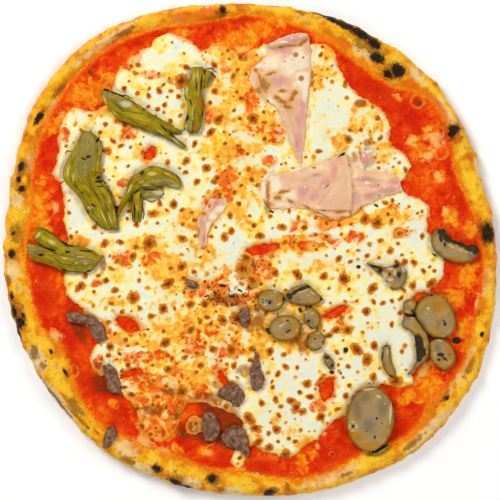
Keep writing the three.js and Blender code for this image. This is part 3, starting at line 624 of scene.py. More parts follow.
top = bottom + SAUCE_SKIN + (top - bottom - SAUCE_SKIN) * rounded
points[:, 2] = np.where(lower, bottom, top)
put_points(sauce_mesh, points)
sauce_ovals = {name: round_the_rim(marks) for name, marks in SAUCE_MARKS.items()}
put_fields(sauce_mesh, points, sauce_ovals, ring=ring, inset=inset / (6 * MM))

sauce = Finish("tomato_sauce", 0.34, lit=0.06, reach=(2, 0.4, 0.1), shine=0.06)
cloud, pulpy, fine = sauce.clouds(cloud=(13, 3, 0.4), pulpy=(4.5, 3, 0.7), fine=(1.1, 3))
sauce.colour = sauce.ramp(
    [(0.22, 198, 26, 0), (0.42, 220, 48, 0), (0.58, 230, 70, 2), (0.78, 238, 106, 8)],
    pulpy=1, cloud=0.9, fine=0.2,
)
oil = sauce.ramp(
    [(0.28, 230, 92, 2), (0.5, 240, 128, 4), (0.74, 250, 176, 36)], pulpy=1, cloud=0.5, fine=0.25
)
sauce.stain(0.75, (204, 28, 0), -0.1, 0.6, deep=1, cloud=1.0, pulpy=0.9)
sauce.stain(0.88, oil, -0.1, 0.6, oily=1, cloud=1.1, pulpy=1.2)
sauce.stain(0.8, (238, 122, 6), 0.55, 0.0, inset=1, pulpy=1.3, cloud=0.6)
sauce.stain(0.85, (244, 156, 16), 0.3, -0.1, inset=1, pulpy=0.8, fine=0.3)
sauce.stain(0.75, (244, 190, 100), 0.1, 0.8, pale=1, pulpy=1.8, fine=0.6)
sauce.stain(0.8, (118, 44, 8), -0.2, 0.5, stained=1, pulpy=1.2, fine=0.6)
sauce.stain(0.6, (244, 150, 40), 0.2, 0.03, ring=1, fine=0.4)
# Painted highlights: small pale specks stand for glints on the wet sauce.
sauce.stain(0.3, (255, 206, 170), 0.18, 0.26, fine=1, pulpy=0.3)
sauce.done(0.2 + 0.3 * fine, pulpy + 0.5 * fine, 0.8 * MM)
piece_from(sauce_mesh, "tomato_sauce_spread", sauce, "sauce", "tomato_sauce")

# ---------------------------------------------------------------- mozzarella
# Torn fresh mozzarella that melted and ran together into one sheet, cream white, with tomato and
# oil bleeding through it. Steam blistered it all over, and the blisters browned.

CHEESE_CELL = 0.98 * MM
DROP_CELL = 0.6 * MM
CHEESE_LUMP = 0.4 * MM
CHEESE_EDGE = 5 * MM
CHEESE_SKIN = 0.15 * MM  # its least thickness
CHEESE_RAGGED = 1.5 * MM
LAP = 1.7 * MM  # how far it creeps in over and under the edges of what lies in it
LAP_LEVEL = 1.4 * MM  # and how thick it is there
LAP_REACH = 2.6 * MM
BULGE = 0.5 * MM  # how far it swells up beside a topping
BLISTER_RISE = 0.5 * MM
LARGE_BLISTER = 2 * MM

BLISTERS = [  # plan x, y, and half-width in plan units, the largest ones
    (218, 117, 6), (210, 130, 5), (158, 88, 4), (180, 78, 8), (106, 149, 5), (123, 122, 4), (214, 88, 4),
    (253, 116, 7), (296, 51, 5), (302, 76, 4), (347, 80, 4), (240, 53, 4), (350, 137, 5), (185, 159, 5),
    (214, 180, 4), (173, 203, 5), (152, 212, 5), (148, 242, 9), (182, 238, 5), (224, 236, 5), (231, 230, 4),
    (260, 235, 5), (283, 226, 5), (181, 266, 6), (167, 283, 7), (132, 297, 7), (78, 286, 6), (113, 290, 4),
    (189, 304, 5), (204, 304, 5), (162, 308, 6), (275, 272, 5), (298, 274, 6), (345, 278, 7), (374, 288, 6),
    (368, 311, 5), (358, 350, 7), (369, 360, 7), (376, 346, 5), (366, 218, 6), (379, 221, 7), (108, 347, 5),
    (164, 343, 6), (167, 370, 5), (181, 392, 7), (212, 350, 5), (231, 350, 6), (184, 358, 4), (226, 408, 4),
    (249, 420, 7), (256, 430, 6), (277, 431, 5), (258, 444, 5), (269, 449, 5), (286, 456, 6), (292, 402, 5),
    (297, 409, 6), (303, 413, 5), (308, 385, 5), (322, 418, 5), (434, 283, 6), (415, 285, 5), (398, 382, 7),
    (347, 397, 4), (375, 378, 5), (340, 430, 4), (104, 280, 4), (131, 256, 5), (118, 241, 4), (98, 130, 3),
    (73, 121, 3), (194, 142, 4), (206, 166, 5), (217, 176, 4), (196, 180, 4), (230, 214, 4), (92, 226, 3),
    (103, 242, 5), (246, 258, 6), (243, 268, 8), (252, 280, 6), (340, 258, 4), (325, 275, 5), (305, 226, 4),
    (392, 250, 4), (402, 232, 4), (416, 262, 4), (337, 330, 5), (330, 336, 4), (349, 330, 6), (404, 352, 3),
    (407, 346, 3), (276, 400, 4), (311, 398, 4), (286, 367, 4), (262, 404, 4), (234, 366, 4), (252, 349, 4),
    (270, 352, 5), (200, 366, 4), (190, 330, 5), (150, 316, 4), (236, 318, 8), (222, 320, 6), (247, 310, 6),
    (120, 312, 3), (130, 396, 4), (141, 428, 4), (120, 372, 3), (136, 410, 3), (214, 62, 4), (180, 62, 3),
    (186, 64, 4), (170, 88, 3),
]
BLISTER_SCATTER = 430
CHEESE_MARKS = {  # ovals: plan x, y, half-widths across and down, and a turn if they have one
    "bleeding": [
        (160, 400, 40, 26), (176, 420, 30, 20), (150, 384, 24, 14), (190, 340, 14, 20), (214, 290, 18, 16),
        (126, 130, 14, 9, 20), (120, 118, 8, 6), (176, 77, 10, 6), (212, 114, 10, 11), (252, 98, 9, 20),
        (256, 124, 11, 12), (232, 66, 12, 6), (220, 196, 20, 10, 20), (226, 176, 12, 18, 20),
        (124, 181, 12, 5, 5), (62, 132, 6, 8), (130, 58, 12, 8, 30), (150, 72, 12, 6), (148, 152, 12, 9, 45),
        (240, 152, 8, 8), (270, 160, 10, 7), (278, 132, 9, 14), (328, 222, 18, 8), (312, 240, 34, 10),
        (396, 205, 7, 4), (356, 236, 14, 7), (262, 250, 24, 10, 8), (250, 270, 16, 18), (266, 268, 8, 18, 10),
        (94, 282, 7, 5), (122, 258, 12, 10), (126, 324, 18, 11, -28), (140, 358, 30, 7, 6),
        (131, 374, 16, 7, 15), (176, 366, 10, 14), (230, 350, 17, 11), (218, 372, 10, 12),
        (165, 402, 34, 18, 5), (196, 392, 16, 12), (150, 428, 18, 16), (338, 312, 20, 8, 22),
        (346, 326, 12, 9), (328, 390, 12, 18, -15), (320, 408, 10, 9), (200, 290, 16, 10, 10),
        (150, 258, 14, 8), (300, 226, 14, 8), (232, 300, 22, 9), (330, 428, 12, 5, -25), (404, 232, 14, 7),
        (104, 330, 6, 12), (96, 362, 6, 12), (262, 298, 8, 12), (210, 330, 10, 8), (194, 350, 12, 10),
    ],
    "golden": [
        (225, 55, 24, 12), (222, 92, 22, 28), (252, 124, 24, 30), (240, 168, 26, 22), (228, 200, 30, 18),
        (180, 290, 24, 42), (162, 262, 20, 12), (225, 328, 30, 18), (250, 344, 20, 12), (212, 312, 26, 20),
        (160, 424, 28, 26), (365, 118, 18, 24, -20), (332, 50, 18, 12), (322, 70, 12, 18), (340, 216, 34, 9),
        (398, 214, 28, 10), (150, 242, 16, 10), (72, 240, 14, 8), (140, 336, 30, 12), (190, 370, 34, 22),
        (286, 244, 26, 10), (196, 216, 26, 12), (384, 150, 14, 12), (254, 446, 14, 12),
        (300, 440, 24, 8, -20), (344, 140, 10, 8), (100, 106, 12, 6, 30), (112, 302, 18, 7),
        (290, 324, 38, 28), (200, 268, 30, 22), (172, 330, 28, 36), (170, 400, 44, 30), (244, 80, 22, 44),
        (398, 390, 20, 7), (330, 264, 18, 8), (226, 144, 26, 18), (280, 420, 10, 8),
    ],
    "milky": [
        (328, 112, 26, 34), (160, 55, 10, 6), (150, 104, 24, 16, 30), (200, 128, 14, 10),
        (92, 196, 8, 30, 30), (180, 224, 20, 12), (226, 258, 14, 26), (370, 262, 36, 16), (310, 260, 28, 10),
        (300, 372, 26, 26), (284, 420, 34, 24), (404, 350, 12, 26), (350, 372, 22, 10), (116, 350, 20, 8),
        (76, 112, 14, 10), (382, 330, 22, 24), (230, 288, 12, 10), (74, 206, 8, 20), (418, 222, 12, 16),
        (160, 178, 30, 24), (268, 386, 14, 22), (90, 262, 12, 12), (335, 355, 14, 10), (216, 416, 12, 8),
        (52, 166, 5, 6),
    ],
    "oily_brown": [
        (247, 262, 12, 12), (244, 272, 9, 10), (252, 283, 7, 8), (244, 314, 12, 12), (232, 300, 16, 6, 20),
        (250, 326, 8, 8), (304, 346, 6, 10, -30), (182, 418, 10, 12), (214, 400, 14, 8), (232, 414, 10, 8),
        (200, 440, 20, 8, 10), (262, 452, 6, 4), (268, 200, 5, 14), (356, 156, 4, 8, 10), (314, 72, 2, 12),
        (244, 54, 5, 5), (101, 264, 4, 8), (126, 324, 14, 6, -28), (362, 100, 8, 5), (192, 288, 10, 5, 10),
        (300, 338, 18, 9), (260, 320, 8, 14), (222, 298, 16, 8), (190, 428, 12, 10), (222, 440, 12, 8),
        (370, 140, 6, 5), (170, 392, 14, 6), (150, 412, 14, 8), (206, 424, 18, 14), (196, 402, 12, 9),
        (246, 372, 12, 7), (228, 388, 20, 9, -10), (96, 372, 14, 10), (90, 322, 14, 8, -30),
    ],
}
SMOOTH = [  # where it stayed milky, with no small blisters
    (328, 112, 20, 30), (404, 345, 12, 22), (178, 190, 16, 14), (226, 262, 10, 20), (160, 54, 18, 12),
    (76, 200, 8, 24), (305, 262, 20, 8), (192, 108, 8, 14), (385, 336, 16, 10),
]
TOPPING_KINDS = ("artichoke", "ham", "mushroom", "anchovy")
TOPPINGS = [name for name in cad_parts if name.split("_")[0] in TOPPING_KINDS]


def blister_places():
    """The listed blisters, and small ones between them wherever there is room."""
    random.seed(SEED + 2)
    found = [np.array([*plan(x, y), half * PLAN_UNIT]) for x, y, half in BLISTERS]
    tries = MM * np.array([
        [random.uniform(-130, 130), random.uniform(-138, 142), random.uniform(0.76, 1.0) ** 3 * 2.3]
        for _ in range(6 * BLISTER_SCATTER)
    ])
    depth, _ = inset_from(tries, cheese_outline)
    for place in tries[(depth > 1.5 * MM) & (inside_ovals(tries, SMOOTH) < 0)]:
        taken = np.array(found)
        room_left = oval_reach(taken, place[:2], 1, 1) - taken[:, 2] - place[2]
        if room_left.min() > 0.6 * MM and len(found) < len(BLISTERS) + BLISTER_SCATTER:
            found.append(place)
    return np.array(found)


def nearest_topping(points):
    """How far inside a topping each point is, as seen from above, and the nearest point on its outline."""
    inset = np.full(len(points), -1.0)
    foot = points[:, :2].copy()
    for node in TOPPINGS:
        low, high = (np.array(corner)[:2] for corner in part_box(node))
        beside = (points[:, :2] > low - 4 * MM) & (points[:, :2] < high + 4 * MM)
        near = beside.all(axis=1)
        if near.any():
            depth, place = inset_from(points[near], outline_of(node))
            nearer = depth > inset[near]
            rows = np.flatnonzero(near)[nearer]
            foot[rows] = place[nearer]
            inset[rows] = depth[nearer]
    return inset, foot


def melted(node, name, cell, blisters):
    """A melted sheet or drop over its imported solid: rounded edge, lumps, blisters and their fields."""
    mesh, lower = close_underneath(grid_over(node, cell, CHEESE_RAGGED, 6.6), name)
    points = points_of(mesh)
    inset, _ = inset_from(points, outline_of(node))
    to_topping, topping_edge = nearest_topping(points)
    beside = np.clip(1 - np.abs(to_topping) / (1.6 * MM), 0, 1)
    top, bottom = top_and_bottom(node, points)
    floor = bottom.min()
    top = relaxed(mesh, np.where(lower, floor, top), 12, lower)
    full = np.clip(inset / CHEESE_EDGE, 0, 1)
    round_over = np.maximum((full * (2 - full)) ** 0.8, np.clip(1.5 * beside, 0, 1))
    lumps = CHEESE_LUMP * (uneven(points, 9 * MM, 2, 2.2) + 0.45 * uneven(points, 3.2 * MM, 2, 9.1))
    nearest = np.full(len(points), 9.0)
    toast = np.zeros(len(points))
    random.seed(SEED + 3)
    for x, y, half in blisters:
        stretch = random.uniform(0.8, 1.25)
        turn = random.uniform(0, math.pi)
        away = oval_reach(points, (x, y), half * stretch, half / stretch, turn)
        shade = random.uniform(0.5 if half > LARGE_BLISTER else 0.1, 1)
        toast = np.where(away < nearest, shade, toast)
        nearest = np.minimum(nearest, away)
        lumps += min(BLISTER_RISE, 0.35 * half) * np.clip(1 - (away / 1.2) ** 2, 0, 1) * (0.5 + away**2)
    surface = floor + CHEESE_SKIN + (top - floor + lumps + BULGE * beside - CHEESE_SKIN) * round_over
    points[:, 2] = np.where(lower, floor, np.maximum(surface, floor + 0.8 * CHEESE_SKIN))
    ends = ends_of(mesh)
    rim = np.zeros(len(lower), dtype=bool)
    rim[ends[:, lower[ends[0]] != lower[ends[1]]]] = True
    touching = rim & (np.abs(to_topping) < LAP_REACH)
    creep = uneven(points, 2.6 * MM, 2, 4.4)
    toward = (topping_edge - points[:, :2]) * np.where(to_topping > 0, -1, 1)[:, None]
    toward /= np.maximum(np.hypot(*toward.T), 1e-9)[:, None]
    points[touching, :2] = (topping_edge + toward * (LAP * (1 + 0.3 * creep))[:, None])[touching]
    lap_top = floor + LAP_LEVEL + 0.4 * MM * creep
    points[touching & ~lower, 2] = np.minimum(points[:, 2], lap_top)[touching & ~lower]
    put_points(mesh, points)
    put_fields(
        mesh, points, CHEESE_MARKS,
        blister=1 - nearest, toast=toast, inset=inset / CHEESE_EDGE, beside=beside,
    )
    piece_from(mesh, name, cheese, "cheese", node)


cheese = Finish("melted_mozzarella", 0.4, lit=0.15, reach=(3, 1.8, 0.8))
cloud, patch, ragged, fine, _ = cheese.clouds(
    cloud=(26, 3, 0.3), patch=(10, 3, 0.5), ragged=(4, 2, 0.3), fine=(1.4, 2), streak=(8, 3, 1.0)
)
milky = cheese.field("milky").past(-0.3, 0.5)
toast = cheese.field("toast")
clear = cheese.field("beside").past(0.4, 0.0)
pale_stops = [
    (0.3, 222, 230, 208), (0.46, 238, 236, 202), (0.57, 247, 232, 150), (0.68, 251, 220, 88),
    (0.84, 246, 194, 50),
]
cheese.colour = cheese.ramp(pale_stops, patch=1, cloud=0.5, ragged=0.5, fine=0.2)
cheese.stain(0.8, (230, 230, 206), 0.18, 0.02, within=milky, ragged=1, patch=0.4)
warmth = cheese.total({"golden": 1, "cloud": 0.5, "patch": 0.6}).past(-0.5, 0.4)
cheese.colour = cheese.mix(0.3 * warmth, cheese.colour, (252, 216, 92))
gold = cheese.ramp(
    [(0.28, 252, 220, 98), (0.45, 251, 198, 36), (0.6, 245, 158, 4), (0.78, 228, 102, 2)], ragged=1, patch=0.9
)
gilding = 0.58 * warmth - 0.16 - 0.2 * milky
cheese.stain(0.88, gold, 0.08, 0.42, gilding, patch=1.7, ragged=0.9, cloud=0.8)
rosy = cloud.past(0.38, 0.56) * (1 - 0.8 * milky)
cheese.stain(0.25, (244, 176, 96), 0.0, 0.12, within=rosy, patch=1)
red = cheese.ramp(
    [(0.3, 244, 146, 34), (0.45, 236, 104, 10), (0.62, 220, 58, 2), (0.8, 184, 30, 0)], ragged=1, patch=0.8
)
bled = cheese.field("bleeding").past(-0.5, 0.5)
bleeding = cheese.total({"streak": 1.8, "ragged": 1.0}, 0.78 * bled - 0.17)
cheese.stain(0.62, (246, 168, 40), 0.1, 0.42, bleeding)
cheese.stain(0.9, red, 0.4, 0.62, bleeding)
cheese.stain(0.8, (150, 66, 4), -0.15, 0.5, oily_brown=1, patch=0.9, ragged=0.9)
cheese.stain(0.8, (245, 160, 40), 0.5, -0.05, within=clear, inset=1, patch=1.6, ragged=0.7)
cheese.stain(0.5, (236, 112, 30), 0.16, -0.02, within=clear, inset=1, ragged=0.5)
cells = {"Vector": cheese.place(), "Scale": 1 / (5.5 * MM)}
dot = cheese.node("ShaderNodeTexVoronoi", {}, cells, "Distance")
chance = cheese.node("ShaderNodeTexVoronoi", {}, cells, "Color")
cheese.stain(0.8, (226, 146, 14), 0.22, 0.08, dot, within=chance.past(0.5, 0.6), fine=0.25)
blister = cheese.total({"blister": 1, "ragged": 0.9, "fine": 0.6})
cheese.stain(1, (248, 204, 70), -0.3, 0.12, blister, within=0.25 + 0.3 * toast)
ring = cheese.mix(toast.past(0.2, 0.6), (236, 164, 14), (204, 118, 4))
cheese.stain(0.92, ring, 0.0, 0.16, blister)
core = cheese.ramp(
    [(0.3, 200, 112, 2), (0.52, 178, 88, 4), (0.74, 148, 64, 4), (0.94, 108, 40, 4)], blister, fine=0.5
)
cheese.stain(1, core, 0.25, 0.55, blister, within=toast.past(0.1, 0.6))
cheese.done(0.25 + 0.35 * fine, ragged + 0.3 * fine, 0.5 * MM)

melted("mozzarella", "melted_mozzarella", CHEESE_CELL, blister_places())
for node in ("mozzarella_drop_bottom", "mozzarella_drop_left"):
    x, y, _ = sum(np.array(corner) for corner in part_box(node)) / 2
    spots = [(x + 1.2 * MM, y + 1.5 * MM, 1.9 * MM), (x, y - 2 * MM, 1.2 * MM)]
    melted(node, f"melted_{node}", DROP_CELL, spots)

# ---------------------------------------------------------------- artichokes
# Quarters of artichoke heart from a jar of oil, laid on before baking: pale leaf bases packed
# round a grey-green heart, running out to fibrous olive tips with dried, frayed ends.

TOPPING_CELL = 0.42 * MM
LEAF_THICKNESS = 1.1 * MM
LEAF_SINK = 0.35 * MM
FIBRE_RELIEF = 0.16 * MM
TOPPING_LUMP = 0.35 * MM
KNEE = 1.2 * MM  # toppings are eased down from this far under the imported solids' top
THREAD_LEVEL = 10.2 * MM
THREAD_HALF_WIDTH = 0.42 * MM

# Leaves from the lowest to the topmost, each a path of plan x, y and half-width, and marks as ovals.
ARTICHOKES = {
    "artichoke_top_left": {
        "leaves": [
            [(102, 90, 4), (106, 99, 5), (112, 108, 6), (122, 117, 6), (136, 123, 6), (150, 128, 5),
             (160, 131, 3)],
            [(110, 92, 4), (120, 98, 6), (131, 106, 6), (142, 112, 6), (152, 117, 6), (164, 124, 4),
             (182, 131, 2)],
            [(122, 112, 3), (136, 115, 5), (148, 120, 5), (160, 128, 4), (170, 136, 3), (184, 146, 1.6)],
            [(132, 99, 1), (141, 105, 2.5), (150, 111, 2.5), (160, 118, 1)],
        ],
        "heart": [(108, 93, 8, 5, -35), (118, 101, 9, 6, -35), (178, 141, 8, 2.5, -40)],
        "film": [(125, 102, 7, 3.6, -15)],
        "rust": [(123, 98, 3, 2), (136, 104, 4, 2, -30), (150, 112, 4, 2, -30), (146, 124, 4, 1.6, -10)],
        "dark": [(104, 87, 5, 1.6, -15), (113, 90.5, 5, 1.2, -20), (121, 93, 5, 1.5, -10),
            (129, 96, 5, 1.1, -18), (133, 99, 3, 1.6, -30), (163, 126, 6, 1.1, -45), (171, 133, 4, 1.2, -45),
            (143, 107, 2, 1)],
        "bright": [(103, 97, 1.6, 6, 20), (176, 140, 9, 0.9, -40), (160, 130, 6, 0.8, -30),
            (113, 111, 4, 1.2, -50)],
    },
    "artichoke_top": {
        "leaves": [
            [(207, 66, 5), (208, 74, 4), (205, 82, 3), (203, 88, 2)],
            [(193, 67, 3), (189, 78, 4), (187, 90, 4), (190, 104, 4), (188, 116, 4), (187, 126, 5)],
            [(202, 66, 3), (200, 80, 4), (197, 94, 4), (199, 106, 5), (198, 118, 5), (196, 128, 4)],
            [(197, 65, 2.4), (195, 78, 3), (193, 92, 3), (194, 106, 3)],
        ],
        "heart": [(188, 122, 6, 8), (209, 77, 3, 6)],
        "film": [],
        "rust": [(200, 84, 2, 12, -4), (199, 100, 3, 8), (206, 67, 6, 2, -10), (196, 126, 4, 5)],
        "dark": [(196, 84, 0.9, 6), (201, 80, 1.1, 9, -5), (204, 69, 1.2, 3), (187, 115.5, 2, 3.6, -15),
            (190, 100, 0.9, 4, 20), (189, 71, 1.5, 1.5), (202, 112, 0.7, 8)],
        "bright": [(193, 74, 1.3, 7, -6), (186, 88, 1.4, 6), (197, 72, 1, 5), (185, 125, 2, 4),
            (192, 112, 1, 8)],
    },
    "artichoke_left": {
        "leaves": [
            [(85, 130, 5), (86, 142, 11), (84, 156, 14), (80, 168, 16), (82, 178, 14), (90, 190, 12),
             (98, 204, 12), (105, 220, 9)],
            [(76, 140, 2), (70, 152, 3), (66, 164, 4), (64, 175, 4), (70, 186, 4), (78, 196, 4),
             (85, 208, 4), (92, 220, 3)],
            [(98, 140, 2), (99, 152, 3), (97, 164, 3), (97, 174, 3)],
            [(74, 168, 3), (77, 180, 4), (86, 192, 5), (94, 204, 5), (100, 216, 5), (106, 228, 3)],
            [(90, 172, 3), (94, 183, 5), (103, 195, 6), (109, 208, 5), (114, 224, 4)],
        ],
        "heart": [(86, 143, 13, 14), (84, 158, 12, 11), (81, 170, 8, 7)],
        "film": [(89, 206.5, 3, 1.6, -20)],
        "rust": [(108, 190, 2, 9, 35), (98, 156, 3, 4)],
        "dark": [(96, 138, 1.3, 3, -35), (82, 157, 3, 1.1, -25), (87, 155, 3, 2, 10), (97, 176, 2.6, 2, 30),
            (97, 180, 4, 1.2), (99, 185, 4, 0.8, -10), (92, 204, 3.6, 1.1, -30), (86, 211, 1.4, 2.6),
            (108, 189, 0.8, 9, 38), (95, 193, 0.6, 9, 35), (81, 191, 1, 1), (99, 193, 0.8, 0.8),
            (96, 171, 0.9, 0.9), (88, 216, 1, 2), (61, 182, 1.4, 4, -20), (105, 206, 0.6, 8, 25)],
        "bright": [(72, 176, 1.3, 6, -8), (102, 215, 1, 10, 25), (109, 218, 0.9, 9, 20), (66, 170, 1.4, 6),
            (113, 214, 0.8, 7, 10), (94, 217, 0.9, 7, 35)],
    },
    "artichoke_arched": {
        "leaves": [
            [(116, 214, 2), (122, 203, 4), (128, 192, 5), (135, 182, 7), (144, 176, 9), (154, 175, 10),
             (164, 177, 8), (173, 180, 7), (180, 186, 3)],
            [(141, 191, 4), (150, 192, 8), (162, 191, 6)],
            [(136, 188, 6), (135, 198, 6), (135, 208, 5), (135, 220, 4)],
            [(132, 176, 2), (141, 170, 3), (150, 165, 2.5), (160, 168, 3), (170, 173, 3), (178, 179, 2)],
            [(115, 215, 1), (122, 203, 2.5), (127, 193, 3), (131, 184, 3)],
        ],
        "heart": [(162, 180, 14, 5, -10), (150, 192, 12, 7)],
        "film": [(158, 191, 6, 3), (173, 185, 6, 2, -15), (146, 184, 5, 1.6), (152, 198, 8, 1.6)],
        "rust": [(152, 164.5, 8, 1.6, 5), (174, 173, 6, 2.4, -20), (131, 178, 3, 4), (119, 206, 2, 6, -25),
            (135, 200, 4, 4)],
        "dark": [(141, 171, 3, 1.8, 40), (135, 180.5, 1, 1), (133, 206, 1, 5.6), (130.5, 196, 0.8, 6, 8),
            (150, 163.5, 7, 0.9, 5), (161, 194, 2.6, 1, 40), (150, 188, 8, 0.8), (139.5, 194, 1, 3),
            (131, 214, 0.7, 5), (137, 214, 0.6, 6)],
        "bright": [(151, 172, 5, 2.4), (129, 187, 1.2, 6, -25), (141, 180, 3, 1, 30), (166, 172, 4, 1, -15)],
    },
    "artichoke_lower_left": {
        "leaves": [
            [(26, 250, 8), (36, 253, 9), (48, 258, 9), (60, 262, 8), (72, 264, 8), (84, 264, 8),
             (94, 260, 6), (101, 257, 2)],
            [(58, 248, 4), (70, 250, 6), (82, 252, 6), (94, 256, 4), (102, 255, 1)],
            [(34, 232, 7), (43, 238, 8), (53, 244, 7), (62, 250, 5), (72, 255, 3)],
            [(36, 252, 2), (48, 255, 4), (60, 259, 4), (74, 261, 4), (88, 261, 3)],
        ],
        "heart": [(33, 250, 8, 7, -15), (82, 260, 13, 6, -5), (72, 250, 9, 3.4)],
        "film": [],
        "rust": [(35, 256, 8, 2, 10), (45, 262, 8, 1.6, -10), (96, 264, 5, 5, 40), (64, 240, 8, 2, -35)],
        "dark": [(39, 254, 3, 1.6), (35, 243, 6, 1, -25), (48, 248.5, 8, 1.1, -15), (66, 251, 3, 1.4),
            (64, 242, 4, 1.2, -30), (62, 269, 4, 1, -20), (83, 246, 2, 1.4), (102, 254, 2.5, 1),
            (84, 250, 8, 0.9, -8), (87, 271, 3, 2), (56, 260, 6, 0.6, -35)],
        "bright": [(36, 234, 5, 2, 50), (50, 241, 5, 2, -30), (64, 257.5, 4, 0.8), (84, 263, 2.2, 1.6),
            (75, 262, 2, 1, 20), (29, 243, 4, 1.3, -30), (27, 255, 1.2, 4, 20), (78, 256, 6, 0.8)],
    },
}
FRAYED_ENDS = [  # dark dried threads: paths of plan x, y
    [(112, 91), (118, 94), (124, 92.5), (131, 96)], [(63, 151), (65.5, 148.6), (69, 149.4)],
    [(119, 93), (123, 97), (131, 99)], [(205, 66), (211, 65), (216, 69)], [(95, 140), (97, 136), (98, 134)],
    [(210, 70), (214, 73), (216, 75)], [(134, 206), (133, 214), (134, 219)],
    [(141, 204), (143, 212), (142, 218)], [(50, 242), (58, 240), (66, 243)],
    [(97, 180), (100, 178), (104, 181)], [(60, 241), (66, 244), (72, 246)],
]


def beside_path(points, stations):
    """Where points lie by a path: metres along it, the signed share of its half-width across it,
    and that half-width, evenly spaced from station to station along it."""
    path = np.array([plan(x, y) for x, y, _ in stations])
    half = np.array([width for _, _, width in stations]) * PLAN_UNIT
    run = np.diff(path, axis=0)
    length = np.hypot(*run.T)
    away = points[:, None, :2] - path[None, :-1]
    share = np.clip((away * run).sum(axis=2) / length**2, 0, 1)
    gap = away - share[..., None] * run
    distance = np.hypot(gap[..., 0], gap[..., 1])
    index = distance.argmin(axis=1)
    rows = np.arange(len(points))
    share = share[rows, index]
    side = np.sign(run[index, 0] * gap[rows, index, 1] - run[index, 1] * gap[rows, index, 0])
    width = half[index] + share * (half[index + 1] - half[index])
    along = np.concatenate([[0], np.cumsum(length)])[index] + share * length[index]
    even_width = np.interp(along, np.linspace(0, along.max(), len(stations)), half)
    return along, side * distance[rows, index] / width, even_width


def laid_on(node, cell, lump, seed, ragged):
    """A fine mesh over a topping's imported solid, closed underneath, with its slight unevenness."""
    mesh, lower = close_underneath(grid_over(node, cell, ragged, seed), node)
    points = points_of(mesh)
    inset, _ = inset_from(points, outline_of(node))
    top, bottom = top_and_bottom(node, points)
    top = relaxed(mesh, top, 3, lower)
    lumps = lump * (uneven(points, 6 * MM, 2, seed) + 0.4 * uneven(points, 2.2 * MM, 2, seed + 4))
    points[:, 2] = np.where(lower, bottom, top + lumps * np.clip(inset / (1.5 * MM), 0, 1))
    return mesh, points, lower, inset


def topped(node, blank, rise, tuck, marks, finish, form, **fields):
    """Raises a topping's top, less and less within tuck of its edge, and makes it a piece. The highest
    points are eased down a little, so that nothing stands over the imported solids."""
    mesh, points, lower, inset = blank
    points[:, 2] += np.where(lower, 0, rise * np.clip(inset / tuck, 0, 1))
    points[:, 2] -= 0.55 * np.clip(points[:, 2] - (solid_box[1][2] - KNEE), 0, None)
    put_points(mesh, points)
    put_fields(mesh, points, marks, inset=inset / (4 * MM), **fields)
    piece_from(mesh, f"{node}_{form}", finish, node.split("_")[0], node)


artichoke = Finish("artichoke_in_oil", 0.36, lit=0.12, reach=(1.6, 1.4, 0.5))
parts = {"X": artichoke.field("along") * 0.12, "Y": artichoke.field("aside"), "Z": artichoke.field("leaf")}
lengthwise = artichoke.node("ShaderNodeCombineXYZ", {}, parts)
fibre = artichoke.cloud(0.55, 3, where=lengthwise)
band = artichoke.cloud(2.4, 2, where=lengthwise)
patch, fine, _ = artichoke.clouds(patch=(5, 3), fine=(1.2, 3), ragged=(2.2, 5))
artichoke.colour = artichoke.ramp(
    [(0.2, 92, 78, 0), (0.4, 134, 112, 2), (0.56, 164, 142, 10), (0.75, 196, 180, 66)],
    0.55 * fibre + 0.45 * band, patch=0.5,
)
heart_stops = [(0.25, 112, 94, 36), (0.5, 144, 126, 62), (0.75, 174, 160, 96)]
heart = artichoke.ramp(heart_stops, 0.6 * fibre + 0.4 * patch)
artichoke.stain(0.85, heart, -0.15, 0.5, heart=1, patch=0.7)
artichoke.stain(0.6, (160, 98, 14), 0.56, 0.72, patch, within=band.past(0.45, 0.6))
artichoke.stain(0.7, (168, 96, 10), -0.15, 0.6, rust=1, patch=0.8)
# Painted highlights: pale glints on the oily leaves.
artichoke.stain(0.7, (212, 204, 118), -0.1, 0.5, bright=1, fine=0.5)
artichoke.stain(0.7, (214, 206, 172), -0.3, 0.6, film=1, ragged=1.5, fine=0.5)
# Painted shade: a dark line along the edges where leaves overlap.
artichoke.stain(0.55, (62, 52, 4), 0.16, 0.0, seam=1)
# Dark marks: burnt tips and dried hairs, and painted shade in the slits and notches between leaves.
artichoke.stain(0.92, (26, 20, 4), -0.12, 0.3, dark=1, fine=0.5)
artichoke.stain(0.2, (92, 74, 2), 0.3, 0.0, inset=1, fine=0.2)
artichoke.done(0.28 + 0.3 * fine, fibre + 0.3 * fine, 0.6 * MM)

for number, (node, marks) in enumerate(ARTICHOKES.items()):
    blank = laid_on(node, TOPPING_CELL, TOPPING_LUMP, 3.3 * number, 0.55 * MM)
    points = blank[1]
    lift, along, aside, leaf = np.zeros((4, len(points)))
    # How near each point lies to a leaf's edge, where a line of painted shade goes along the overlaps.
    seam = np.full(len(points), 1.0)
    for level, stations in enumerate(marks.pop("leaves")):
        way, across, width = beside_path(points, stations)
        ruffled = np.abs(across) + 0.1 * uneven(points, 2.5 * MM, 1, level + number)
        on_leaf = ruffled < 1
        crown = 0.35 + 0.65 * np.sqrt(np.clip(1 - ruffled**2, 0, 1))
        lift = np.where(on_leaf, LEAF_THICKNESS * crown * (0.6 + 0.2 * level), lift)
        seam = np.where(on_leaf, 1 - ruffled, np.minimum(seam, np.clip(ruffled - 1, 0, 1) * 1.5))
        along = np.where(on_leaf, way / MM, along)
        aside = np.where(on_leaf, across * width / MM, aside)
        leaf = np.where(on_leaf, 7.0 * (level + 1), leaf)
    ridges = [noise.noise(Vector((0.1 * a, 1.6 * b, c))) for a, b, c in zip(along, aside, leaf)]
    lift += FIBRE_RELIEF * np.array(ridges) - LEAF_SINK
    lift -= 0.8 * MM * np.clip(inside_ovals(points, marks["dark"]) * 2, 0, 1)
    topped(node, blank, lift, MM, marks, artichoke, "quarter", along=along, aside=aside, leaf=leaf, seam=seam)

